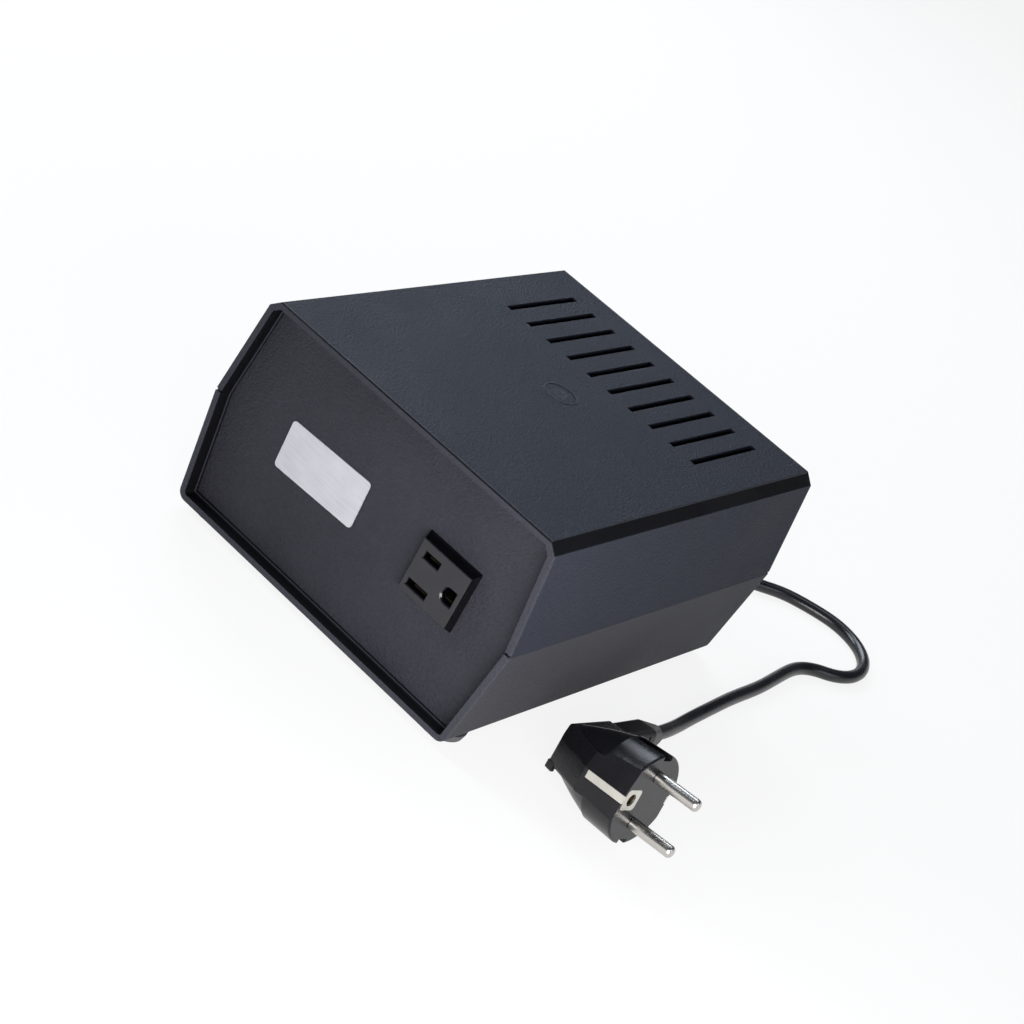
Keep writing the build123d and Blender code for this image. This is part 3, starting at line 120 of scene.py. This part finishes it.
def card_material():
    material, start = new_material("white_card")
    rays = ("Is Camera Ray", "Is Glossy Ray", "Is Transmission Ray")
    seen, mirrored, looked_through = [start.node("ShaderNodeLightPath", out=ray) for ray in rays]
    shown = seen.greater(mirrored).greater(looked_through)
    matt = start.node("ShaderNodeBsdfDiffuse", {"Color": card_white})
    white = start.node("ShaderNodeEmission", {"Color": plain_white, "Strength": 1.0})
    mixed = start.node("ShaderNodeMixShader", {0: shown * card_glow, 1: matt, 2: white})
    start.node("ShaderNodeOutputMaterial", {"Surface": mixed})
    return material


def card_sheet(name, bm):
    """Puts a finished bmesh on the stage as a sheet of white card."""
    mesh = bpy.data.meshes.new(name)
    bm.to_mesh(mesh)
    bm.free()
    sheet = bpy.data.objects.new(name, mesh)
    scene.collection.objects.link(sheet)
    mesh.materials.append(white_card)


white_card = card_material()
table = bmesh.new()
bmesh.ops.create_grid(table, x_segments=1, y_segments=1, size=table_reach)
card_sheet("tabletop", table)

walls = bmesh.new()
bmesh.ops.create_grid(walls, x_segments=1, y_segments=1, size=table_reach)
table_face = walls.faces[:]
raised = bmesh.ops.extrude_edge_only(walls, edges=walls.edges[:])["geom"]
wall_tops = [item for item in raised if isinstance(item, bmesh.types.BMVert)]
bmesh.ops.translate(walls, verts=wall_tops, vec=(0, 0, wall_height))
bmesh.ops.delete(walls, geom=table_face, context="FACES_ONLY")
card_sheet("card_wall", walls)


# The dim room and its lamps: a wide soft box at the back left and one overhead for the case's top,
# a small one low in front for the panel, a square one at the right, and a strip at the left.
room_low = (0.10, 0.10, 0.11, 1)
room_high = (0.045, 0.050, 0.060, 1)
room_level = 0.27
room_fade = 0.12
case_middle = (0, 0, 0.05)
panel_middle = (0.04, -0.09, 0.05)
sky_blue = (0.84, 0.91, 1.0)
side_blue = (0.88, 0.93, 1.0)
strip_blue = (0.88, 0.94, 1.0)
near_white = (1.0, 0.99, 1.0)

world = bpy.data.worlds.new("studio")
scene.world = world
world.use_nodes = True
world.node_tree.nodes.clear()
sky = Tone(world.node_tree)
heading = sky.node("ShaderNodeTexCoord", out="Generated")
height = sky.node("ShaderNodeSeparateXYZ", {"Vector": heading}, out="Z")
room = height.above(room_level, room_fade).blend(room_low, room_high)
background = sky.node("ShaderNodeBackground", {"Color": room, "Strength": 1.0})
sky.node("ShaderNodeOutputWorld", {"Surface": background})


def soft_box(name, place, aim, size, power, tint):
    """A rectangular lamp that looks at its aim."""
    lamp = bpy.data.lights.new(name, "AREA")
    lamp.shape = "RECTANGLE"
    lamp.size, lamp.size_y = size
    lamp.energy = power
    lamp.color = tint
    holder = bpy.data.objects.new(name, lamp)
    scene.collection.objects.link(holder)
    holder.location = place
    holder.rotation_euler = (Vector(aim) - Vector(place)).to_track_quat("-Z", "Y").to_euler()


soft_box("over_back", (-0.85, 0.65, 0.85), case_middle, size=(0.8, 0.8), power=13.5, tint=sky_blue)
soft_box("overhead", (-0.05, 0.45, 1.20), case_middle, size=(0.7, 0.7), power=2.5, tint=sky_blue)
soft_box("front_low", (0.25, -0.30, 0.10), panel_middle, size=(0.26, 0.18), power=1.75, tint=near_white)
soft_box("right_square", (0.90, 0.05, 0.45), case_middle, size=(0.4, 0.4), power=1.2, tint=side_blue)
soft_box("left_strip", (-0.95, -0.35, 0.75), case_middle, size=(0.3, 0.9), power=9.5, tint=strip_blue)


# The camera looks down at the case from its front right corner and is rolled by about thirty
# degrees, as in the photograph. Its lens is a long one for a frame 36 mm wide.
camera_place = (0.3705, -0.7787, 0.4688)
focal_length = 88.63
frame_width = 36.0
view_right = Vector((0.6924, 0.5671, 0.4461)).normalized()
view_ahead = Vector((-0.3777, 0.8117, -0.4455)).normalized()
view_right = (view_right - view_ahead * view_right.dot(view_ahead)).normalized()
view_up = view_right.cross(view_ahead)

lens = bpy.data.cameras.new("camera")
lens.lens = focal_length
lens.sensor_width = frame_width
lens.clip_end = 2 * table_reach
camera = bpy.data.objects.new("camera", lens)
scene.collection.objects.link(camera)
scene.camera = camera
camera_turn = Matrix((view_right, view_up, -view_ahead)).transposed().to_4x4()
camera.matrix_world = Matrix.Translation(camera_place) @ camera_turn
scene.view_settings.view_transform = "Standard"


# The two halves of the case: black ABS, moulded with a fine spark-eroded grain outside. They are
# screwed together from below, and their plain rims stand out beyond the recessed panels.
seam_height = 0.048
seam_reach = 0.077
upper_lean = 0.1144
lower_lean = 0.1244
case_low, case_top, case_end = 0.003, 0.093, 0.091
shoulder_reach = 0.06835
shoulder_low = 0.0893
skin_depth = 0.0005
inner_depth = 0.0017
rim_depth = 0.0004
edge_highlight_depth, edge_highlight_width = 0.0008, 0.00025
top_depth, top_fade = 0.0010, 0.0006
rib_edge, rib_depth = 0.0864, 0.0034
mark_middle = (0.0015, -0.0005, 0.0)
ring_radius, ring_line = 0.0069, 0.0003
dot_radius, dot_line = 0.0024, 0.0010
crisp, soft = 0.0002, 0.0003
mark_share, dot_share = 0.60, 0.4
edge_highlight_share, rib_share = 0.7, 0.8
polish_gain, grain_loss = 0.38, 0.9
# Painted shade: near-black painted over the shell's polished parts, its inner rim walls, shoulder
# chamfers and the top edge of its rim ends.
painted_shade_black = (0.0045, 0.0045, 0.0060, 1)
# Painted light: a lighter, greyer tint for the rim ends than the rest of the shell.
painted_lit_rim_grey = (0.0330, 0.0330, 0.0420, 1)
# Painted highlights: a pale grey for the lines along the ring mark, the edges behind the rim ends and
# the rib.
painted_highlight_grey = (0.062, 0.067, 0.082, 1)
scuff_grey = (0.12, 0.125, 0.14, 1)


def noise(place, scale, detail):
    return place.node("ShaderNodeTexNoise", {"Vector": place, "Scale": scale, "Detail": detail})


def bumped(height, strength, depth):
    """The surface raised by that height, for a shader's Normal."""
    sockets = {"Height": height, "Strength": strength, "Distance": depth}
    return height.node("ShaderNodeBump", sockets)


def surface(start, sockets):
    """A surface shader with those sockets, joined to the material's output."""
    shader = start.node("ShaderNodeBsdfPrincipled", sockets)
    start.node("ShaderNodeOutputMaterial", {"Surface": shader})


def line_at(value, middle, width):
    """One along a thin line where the value passes the middle, nought elsewhere."""
    return 1 - abs(value - middle).above(width, width)


def shell_depth(across, up):
    """How far a point is inside the case's outer skin."""
    lean = ((up - seam_height) * upper_lean).greater((seam_height - up) * lower_lean)
    return (seam_reach - lean - abs(across)).lesser(case_top - up).lesser(up - case_low)


def ring_mark_highlight(place):
    """Painted highlights: a thin pale line round the ring that is moulded in the top, and a faint one
    inside it.
    """
    kind = "ShaderNodeVectorMath"
    offset = place.node(kind, {0: place, 1: mark_middle}, {"operation": "SUBTRACT"})
    flat = place.node(kind, {0: offset, 1: (1, 1, 0)}, {"operation": "MULTIPLY"})
    away = place.node(kind, {0: flat}, {"operation": "LENGTH"}, out="Value")
    ring = line_at(away, ring_radius, ring_line)
    return ring.greater(line_at(away, dot_radius, dot_line) * dot_share)


def shell_finish(place, tint):
    """The shell's tint with its rims, edges and mark, and where its plastic is polished.

    Painted light: lighter rim ends, and painted highlights along the ring mark, behind the rim ends
    and on the rib. Painted shade: the polished parts are painted near-black.
    """
    across, along, up = [
        place.node("ShaderNodeSeparateXYZ", {"Vector": place}, out=axis) for axis in "XYZ"
    ]
    across, along = abs(across), abs(along)
    depth = shell_depth(across, up)
    skin = 1 - depth.above(skin_depth, crisp)
    rim_end = along.above(case_end - rim_depth, crisp)
    inside = depth.above(inner_depth, soft) * (1 - rim_end)
    shoulder = across.above(shoulder_reach, soft) * up.above(shoulder_low, soft)
    top_rim = rim_end * skin * up.above(case_top - top_depth, top_fade)
    # Painted shade: these polished parts are painted near-black below, as a dark reflection and shade;
    # their lower roughness and lost grain are real polish.
    polished_and_shaded = inside.greater(shoulder * (1 - rim_end)).greater(top_rim)
    # Painted highlight: pale lines on the ring moulded in the top.
    mark = ring_mark_highlight(place) * up.above(case_top - top_depth, crisp)
    # Painted highlight: a thin pale line round the skin just behind each rim end.
    edge_highlight = line_at(along, case_end - edge_highlight_depth, edge_highlight_width) * skin
    # Painted highlight: a pale line along the front edge of the rib inside the rim.
    rib = line_at(along, rib_edge, crisp) * depth.above(rib_depth, crisp)
    tint = (mark * mark_share).blend(tint, painted_highlight_grey)
    # Painted light: the rim ends are tinted lighter and greyer than the shell round them.
    tint = rim_end.blend(tint, painted_lit_rim_grey)
    tint = (edge_highlight * edge_highlight_share).blend(tint, painted_highlight_grey)
    tint = polished_and_shaded.blend(tint, painted_shade_black)
    return (rib * rib_share).blend(tint, painted_highlight_grey), polished_and_shaded


def case_material(name, dark, light, rough, shine, shell=True):
    """Grained black plastic, scuffed here and there, and on a shell with its polished parts painted
    near-black as painted shade, lighter rim ends as painted light, and painted highlights.
    """
    material, start = new_material(name)
    place = start.node("ShaderNodeTexCoord", out="Object")
    grain = noise(place, scale=900.0, detail=3.0)
    pits = start.node("ShaderNodeTexVoronoi", {"Vector": place, "Scale": 1100.0})
    cloud = noise(place, scale=24.0, detail=4.0)
    rubbed = {"Vector": place, "Rotation": (0.3, 0.2, 0.9), "Scale": (1, 0.06, 1)}
    scuff = noise(start.node("ShaderNodeMapping", rubbed), scale=420.0, detail=2.0)
    tint = (cloud * 0.6 + grain * 0.4).above(0.5, 0.36).blend(dark, light)
    tint = (scuff.above(0.75, 0.05) * 0.12).blend(tint, scuff_grey)
    roughness = cloud * 0.30 + (rough - 0.08)
    relief = grain * 0.7 + pits * 0.5
    if shell:
        tint, polished_and_shaded = shell_finish(place, tint)
        roughness = roughness - polished_and_shaded * polish_gain
        relief = relief * (1 - polished_and_shaded * grain_loss)
    sockets = {
        "Base Color": tint,
        "Roughness": roughness,
        "Specular IOR Level": shine,
        "Normal": bumped(relief, strength=0.8, depth=0.0005),
    }
    surface(start, sockets)
    return material


def dress(material, *names):
    """Gives CAD pieces their finish."""
    for name in names:
        for slot in cad[name].material_slots:
            slot.material = material


# Painted light and shade: both shells are the same ABS, but the upper one is painted darker and bluer
# and the lower one lighter and greyer, for light from above and the pale table below.
upper_dark, upper_light = (0.0135, 0.0160, 0.0245, 1), (0.0240, 0.0270, 0.0380, 1)
lower_dark, lower_light = (0.0215, 0.0215, 0.0270, 1), (0.0355, 0.0355, 0.0430, 1)
case_upper = case_material("case_upper_plastic", upper_dark, upper_light, rough=0.60, shine=0.14)
case_lower = case_material("case_lower_plastic", lower_dark, lower_light, rough=0.60, shine=0.20)
dress(case_upper, "upper_shell")
dress(case_lower, "lower_shell")


# The front and rear panels: flat sheets of the same plastic, smoother than the shells, held in
# grooves a few millimetres inside the rims.
panel_dark, panel_light = (0.0168, 0.0163, 0.0232, 1), (0.0282, 0.0278, 0.0362, 1)
panel_black = case_material(
    "panel_plastic", panel_dark, panel_light, rough=0.56, shine=0.22, shell=False
)
dress(panel_black, "front_panel", "rear_panel")


# The ring core: a steel strip wound up and taped, with two layers of enamelled copper wire over
# it and more tape outside. A plate, a nut and a bolt press it between rubber pads on the floor.
amber = (0.42, 0.30, 0.09, 1)
rubber_grey = (0.042, 0.042, 0.045, 1)
copper_dark, copper_light = (0.50, 0.20, 0.09, 1), (0.62, 0.28, 0.14, 1)
zinc_dark, zinc_light = (0.46, 0.48, 0.50, 1), (0.60, 0.62, 0.63, 1)
wire_grain = (1, 1, 0.1)
even_grain = (1, 1, 1)


def soft_material(name, tint, rough, scale, shine=0.5):
    """Rubber, tape or moulded plastic of that tint, paler in places, with a fine grain."""
    material, start = new_material(name)
    place = start.node("ShaderNodeTexCoord", out="Object")
    cloud = noise(place, scale=60.0, detail=3.0)
    grain = noise(place, scale, detail=2.0)
    pale = tuple(min(1.0, part * 1.7) for part in tint[:3]) + (1,)
    sockets = {
        "Base Color": cloud.above(0.5, 0.5).blend(tint, pale),
        "Roughness": cloud * 0.15 + rough,
        "Specular IOR Level": shine,
        "Normal": bumped(grain, strength=0.3, depth=0.00015),
    }
    surface(start, sockets)
    return material


def metal_material(name, dark, light, rough, stretch, brushed=0.06):
    """Metal with a drawn or rolled grain and a slightly uneven shine."""
    material, start = new_material(name)
    place = start.node("ShaderNodeTexCoord", out="Object")
    drawn = start.node("ShaderNodeMapping", {"Vector": place, "Scale": stretch})
    brush = noise(drawn, scale=900.0, detail=3.0)
    cloud = noise(place, scale=140.0, detail=3.0)
    sockets = {
        "Base Color": cloud.above(0.5, 0.6).blend(dark, light),
        "Metallic": 1.0,
        "Roughness": brush * brushed + cloud * (brushed * 1.7) + rough,
        "Normal": bumped(brush, strength=brushed, depth=0.0001),
    }
    surface(start, sockets)
    return material


tape_amber = soft_material("winding_tape", amber, rough=0.30, scale=400.0)
foot_rubber = soft_material("foot_rubber", rubber_grey, rough=0.55, scale=1200.0)
winding_copper = metal_material("winding_copper", copper_dark, copper_light, 0.25, wire_grain)
zinc_plate = metal_material("zinc_plate", zinc_dark, zinc_light, 0.30, even_grain)
dress(tape_amber, "outer_tape", "core_insulation")
dress(foot_rubber, "lower_pad", "upper_pad")
dress(winding_copper, "common_winding", "series_winding")
dress(zinc_plate, "toroid_core", "clamp_plate", "bolt_washer", "bolt_nut", "mounting_bolt")


# The wiring: PVC-covered wires join the cord, the windings and the outlet. They meet at a nylon
# terminal block with three clamp screws, and at a tinned thermal cut-out against the windings.
nylon_cream = (0.40, 0.39, 0.36, 1)
brown = (0.090, 0.032, 0.016, 1)
blue = (0.012, 0.060, 0.300, 1)
green = (0.080, 0.260, 0.030, 1)
tin_dark, tin_light = (0.58, 0.56, 0.50, 1), (0.72, 0.70, 0.64, 1)
tin_grain = (0.2, 1, 1)
block_nylon = soft_material("block_nylon", nylon_cream, rough=0.40, scale=1500.0)
wire_brown = soft_material("wire_brown", brown, rough=0.35, scale=1500.0)
wire_blue = soft_material("wire_blue", blue, rough=0.35, scale=1500.0)
wire_green = soft_material("wire_green", green, rough=0.35, scale=1500.0)
earth_tin = metal_material("earth_tin", tin_dark, tin_light, 0.28, tin_grain)
dress(block_nylon, "terminal_block")
dress(zinc_plate, "terminal_screws")
dress(earth_tin, "thermal_cutout")
dress(wire_brown, "supply_line_wire", "cutout_lead", "tap_lead")
dress(wire_blue, "supply_neutral_wire", "common_lead", "outlet_neutral_lead")
dress(wire_green, "supply_earth_wire", "outlet_earth_lead")


# The outlet: hard black plastic, moulded with a fine matt face and polished bevels, and pushed
# through the panel from the front until its two wings spring out behind it. Its bevels and slot
# walls are painted near-black as painted shade. Its contacts are bronze strip, tinted as tarnished
# and darker still as painted shade inside the slots, with brass terminals pushed on behind.
outlet_face = -0.089
face_depth = 0.0003
face_dark, face_light = (0.0080, 0.0080, 0.0105, 1), (0.0130, 0.0130, 0.0160, 1)
# Painted shade: near-black for everything behind the outlet's face, its bevels and slot walls.
bevel_shade_black = (0.0018, 0.0018, 0.0024, 1)
# Tarnished bronze, painted darker still as shade inside the slots and the plug's earth hole.
bronze_shade_dark, bronze_shade_light = (0.060, 0.045, 0.028, 1), (0.105, 0.078, 0.046, 1)
brass_dark, brass_light = (0.52, 0.37, 0.14, 1), (0.66, 0.50, 0.22, 1)
strip_grain = (1, 0.1, 1)


def outlet_material():
    material, start = new_material("outlet_plastic")
    place = start.node("ShaderNodeTexCoord", out="Object")
    along = start.node("ShaderNodeSeparateXYZ", {"Vector": place}, out="Y")
    grain = noise(place, scale=2200.0, detail=2.0)
    cloud = noise(place, scale=90.0, detail=2.0)
    face = 1 - along.above(outlet_face + face_depth, crisp)
    matt = cloud.above(0.5, 0.5).blend(face_dark, face_light)
    sockets = {
        # Painted shade: the bevels and slot walls are painted near-black.
        "Base Color": face.blend(bevel_shade_black, matt),
        "Roughness": face * 0.16 + cloud * 0.05 + 0.07,
        "Normal": bumped(grain * face, strength=0.3, depth=0.00015),
    }
    surface(start, sockets)
    return material


outlet_black = outlet_material()
contact_bronze = metal_material("contact_bronze", bronze_shade_dark, bronze_shade_light, 0.42, strip_grain)
terminal_brass = metal_material("terminal_brass", brass_dark, brass_light, 0.22, strip_grain)
dress(outlet_black, "outlet_body")
dress(contact_bronze, "outlet_line_contact", "outlet_neutral_contact", "outlet_earth_contact")
dress(terminal_brass, "push_on_terminals")


# The rating plate's place: a bare satin foil with rounded corners, lightly brushed along its
# length, stuck on the panel a couple of degrees out of true.
label_turn = radians(-2.3)
foil_dark, foil_light = (0.39, 0.39, 0.415, 1), (0.52, 0.52, 0.54, 1)


def label_material():
    material, start = new_material("label_foil")
    place = start.node("ShaderNodeTexCoord", out="Object")
    lengthwise = {"Vector": place, "Rotation": (0, label_turn, 0), "Scale": (0.05, 1, 1)}
    streak = noise(start.node("ShaderNodeMapping", lengthwise), scale=1500.0, detail=2.0)
    cloud = noise(place, scale=120.0, detail=2.0)
    sockets = {
        "Base Color": (streak * 0.6 + cloud * 0.4).above(0.5, 0.5).blend(foil_dark, foil_light),
        "Metallic": 0.15,
        "Roughness": streak * 0.15 + 0.34,
        "Normal": bumped(streak, strength=0.1, depth=0.0001),
    }
    surface(start, sockets)
    return material


label_foil = label_material()
dress(label_foil, "label_plate")


# Four rubber feet are plugged into the floor, and four zinc-plated screws come up through the
# lower shell to hold the case shut.
dress(foot_rubber, "feet")
dress(zinc_plate, "case_screws")


# The cord bush: a black nylon moulding with a tapered sleeve outside the rear panel and a nut
# inside it. The strap round the coil has the same black finish.
nylon_black = (0.014, 0.014, 0.015, 1)
bush_black = soft_material("bush_nylon", nylon_black, rough=0.34, scale=1700.0)
dress(bush_black, "cord_bush", "bush_nut", "coil_tie")


# The plug's two pins: round brass rod, nickelled and polished, with rounded tips and a thinner
# root. The plug is moulded round their roots, so they stand out of its face for good.
plug_face = Vector((0.1326, -0.0536, 0.020207))
pin_way = Vector((0.98655, -0.06207, 0.15126)).normalized()
pin_apart = Vector((-0.1331, 0.2321, 0.9635)).normalized()
pin_out = pin_way.cross(pin_apart).normalized()
pin_half_gap = 0.0095
pin_radius = 0.0024
root_radius = 0.0020
tip_radius = 0.0009
root_end, neck_end, pin_end = -0.0100, 0.0002, 0.0190
tip_round = pin_radius - tip_radius
tip_steps = 8
spin_steps = 64
sharp_edge = radians(40)
merge_reach = 1e-6
nickel_dark, nickel_light = (0.50, 0.48, 0.45, 1), (0.62, 0.60, 0.57, 1)
pin_grain = (0.1, 1, 1)
pin_brushed = 0.003

pin_outline = [(0.0, root_end), (root_radius, root_end)]
pin_outline += [(root_radius, neck_end), (pin_radius, neck_end)]
for step in range(tip_steps + 1):
    angle = radians(90 * step / tip_steps)
    out = tip_radius + tip_round * cos(angle)
    pin_outline.append((out, pin_end - tip_round + tip_round * sin(angle)))
pin_outline.append((0.0, pin_end))

pins = bmesh.new()
for side in (-1, 1):
    middle = plug_face + pin_apart * (side * pin_half_gap)
    rim = [pins.verts.new(middle + pin_out * out + pin_way * on) for out, on in pin_outline]
    line = [pins.edges.new(pair) for pair in zip(rim, rim[1:])]
    bmesh.ops.spin(
        pins,
        geom=rim + line,
        cent=middle,
        axis=pin_way,
        angle=2 * pi,
        steps=spin_steps,
        use_merge=True,
    )
bmesh.ops.remove_doubles(pins, verts=pins.verts, dist=merge_reach)
bmesh.ops.recalc_face_normals(pins, faces=pins.faces)
for face in pins.faces:
    face.smooth = True
for edge in pins.edges:
    if len(edge.link_faces) == 2 and edge.calc_face_angle() > sharp_edge:
        edge.smooth = False
pin_mesh = bpy.data.meshes.new("nickelled_pins")
pins.to_mesh(pin_mesh)
pins.free()
nickelled_pins = bpy.data.objects.new("nickelled_pins", pin_mesh)
scene.collection.objects.link(nickelled_pins)
pin_nickel = metal_material(
    "pin_nickel", nickel_dark, nickel_light, 0.28, pin_grain, pin_brushed
)
pin_mesh.materials.append(pin_nickel)
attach(nickelled_pins, "root")
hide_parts("plug_pins")


# The plug and its ribbed strain relief: soft black PVC, moulded in one shot round the pins and
# the tinned earth strips. A bronze sleeve behind the earth hole takes the socket's pin.
pvc_black = (0.0045, 0.0045, 0.0055, 1)
plug_black = soft_material("plug_pvc", pvc_black, rough=0.20, scale=1400.0, shine=0.34)
relief_black = soft_material("relief_pvc", pvc_black, rough=0.32, scale=1400.0, shine=0.16)
dress(plug_black, "plug_body")
dress(relief_black, "plug_relief")
dress(earth_tin, "plug_earth_contact", "plug_far_contact")
# The earth sleeve takes the same bronze, painted darker as shade in its hole.
dress(contact_bronze, "plug_earth_sleeve")


# The mains cord: black PVC, three-core, 5.6 mm thick. It leaves a tapered sleeve on the rear
# panel, is put away in a tied coil behind the case, and runs round to the angled plug.
cord_thick = 0.0056
sleeve_tip = (0.0235, 0.1115, 0.020)
coil_x, coil_y = -0.0167, 0.1607
coil_outer_radius = 0.039
coil_floor_gap = 0.0007
coil_turn_gap = 0.0007
coil_layer_gap = 0.0007
coil_climb_inset = 0.0007
half_turns_in = 4
table_gap = 0.00005
sheath_dark, sheath_light = (0.006, 0.006, 0.008, 1), (0.011, 0.011, 0.014, 1)
on_table = cord_thick / 2 + table_gap
layer_low = cord_thick / 2 + coil_floor_gap
layer_high = layer_low + cord_thick + coil_layer_gap
half_step = (cord_thick + coil_turn_gap) / 2
coil_reach = [coil_outer_radius - turn * half_step for turn in range(half_turns_in)]
coil_reach.append(coil_reach[-1] - half_step - coil_climb_inset)
coil_reach = coil_reach + coil_reach[::-1]

cord_route = [
    sleeve_tip,
    (0.0235, 0.1177, 0.0200),
    (0.0234, 0.1239, 0.0189),
    (0.0232, 0.1301, 0.0166),
    (0.0229, 0.1363, 0.0134),
    (0.0226, 0.1425, 0.0109),
    (0.0223, 0.1489, layer_high),
    (0.0223, 0.1551, layer_high),
]
last_turn = len(coil_reach) - 1
for turn, reach in enumerate(coil_reach):
    side = 1 if turn % 2 == 0 else -1
    if turn < last_turn:
        radius = (reach + coil_reach[turn + 1]) / 2
        sweep, steps = 180.0, 8
    else:
        radius = reach + half_step / 2
        sweep, steps = 130.0, 6
    middle_x = coil_x + side * (reach - radius)
    start_height = layer_high if turn <= half_turns_in else layer_low
    drop = layer_high - layer_low if turn == half_turns_in else 0.0
    outer = radius / cos(radians(sweep / steps / 2))
    for step in range(steps):
        angle = radians(sweep * (step + 0.5) / steps)
        x = middle_x + side * outer * cos(angle)
        y = coil_y + side * outer * sin(angle)
        cord_route.append((x, y, start_height - drop * (1 - cos(angle)) / 2))
cord_route += [
    (0.0152, 0.1332, layer_low),
    (0.0244, 0.1409, layer_low),
    (0.0352, 0.1524, 0.0031),
    (0.0488, 0.1680, on_table),
    (0.0572, 0.1783, on_table),
    (0.0664, 0.1839, on_table),
    (0.0794, 0.1892, on_table),
    (0.0894, 0.1891, on_table),
    (0.0987, 0.1853, on_table),
    (0.1058, 0.1782, on_table),
    (0.1097, 0.1689, on_table),
    (0.1098, 0.1589, on_table),
    (0.1061, 0.1496, on_table),
    (0.0988, 0.1420, on_table),
    (0.0950, 0.1316, on_table),
    (0.0963, 0.1135, on_table),
    (0.0976, 0.0970, on_table),
    (0.0972, 0.0765, on_table),
    (0.0982, 0.0550, on_table),
    (0.0989, 0.0410, on_table),
    (0.1000, 0.0295, 0.0032),
    (0.10093, 0.01698, 0.00458),
    (0.10077, 0.00903, 0.00542),
]


def cord_material():
    material, start = new_material("cord_pvc")
    place = start.node("ShaderNodeTexCoord", out="Object")
    cloud = noise(place, scale=90.0, detail=3.0)
    grain = noise(place, scale=1500.0, detail=2.0)
    sockets = {
        "Base Color": cloud.above(0.5, 0.5).blend(sheath_dark, sheath_light),
        "Roughness": cloud * 0.16 + 0.20,
        "Specular IOR Level": 0.5,
        "Normal": bumped(cloud * 0.6 + grain * 0.25, strength=0.35, depth=0.0003),
    }
    surface(start, sockets)
    return material


cord_curve = bpy.data.curves.new("mains_cord", "CURVE")
cord_curve.dimensions = "3D"
cord_curve.bevel_depth = cord_thick / 2
cord_curve.bevel_resolution = 5
cord_curve.resolution_u = 5
cord_curve.use_fill_caps = True
strand = cord_curve.splines.new("NURBS")
strand.points.add(len(cord_route) - 1)
for point, place in zip(strand.points, cord_route):
    point.co = (*place, 1.0)
strand.order_u = 3
strand.use_endpoint_u = True
mains_cord = bpy.data.objects.new("mains_cord", cord_curve)
scene.collection.objects.link(mains_cord)
cord_black = cord_material()
cord_curve.materials.append(cord_black)
dress(cord_black, "inner_cord")
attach(mains_cord, "root")
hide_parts("cord_lead_in", "cord_coil", "cord_lead_out")
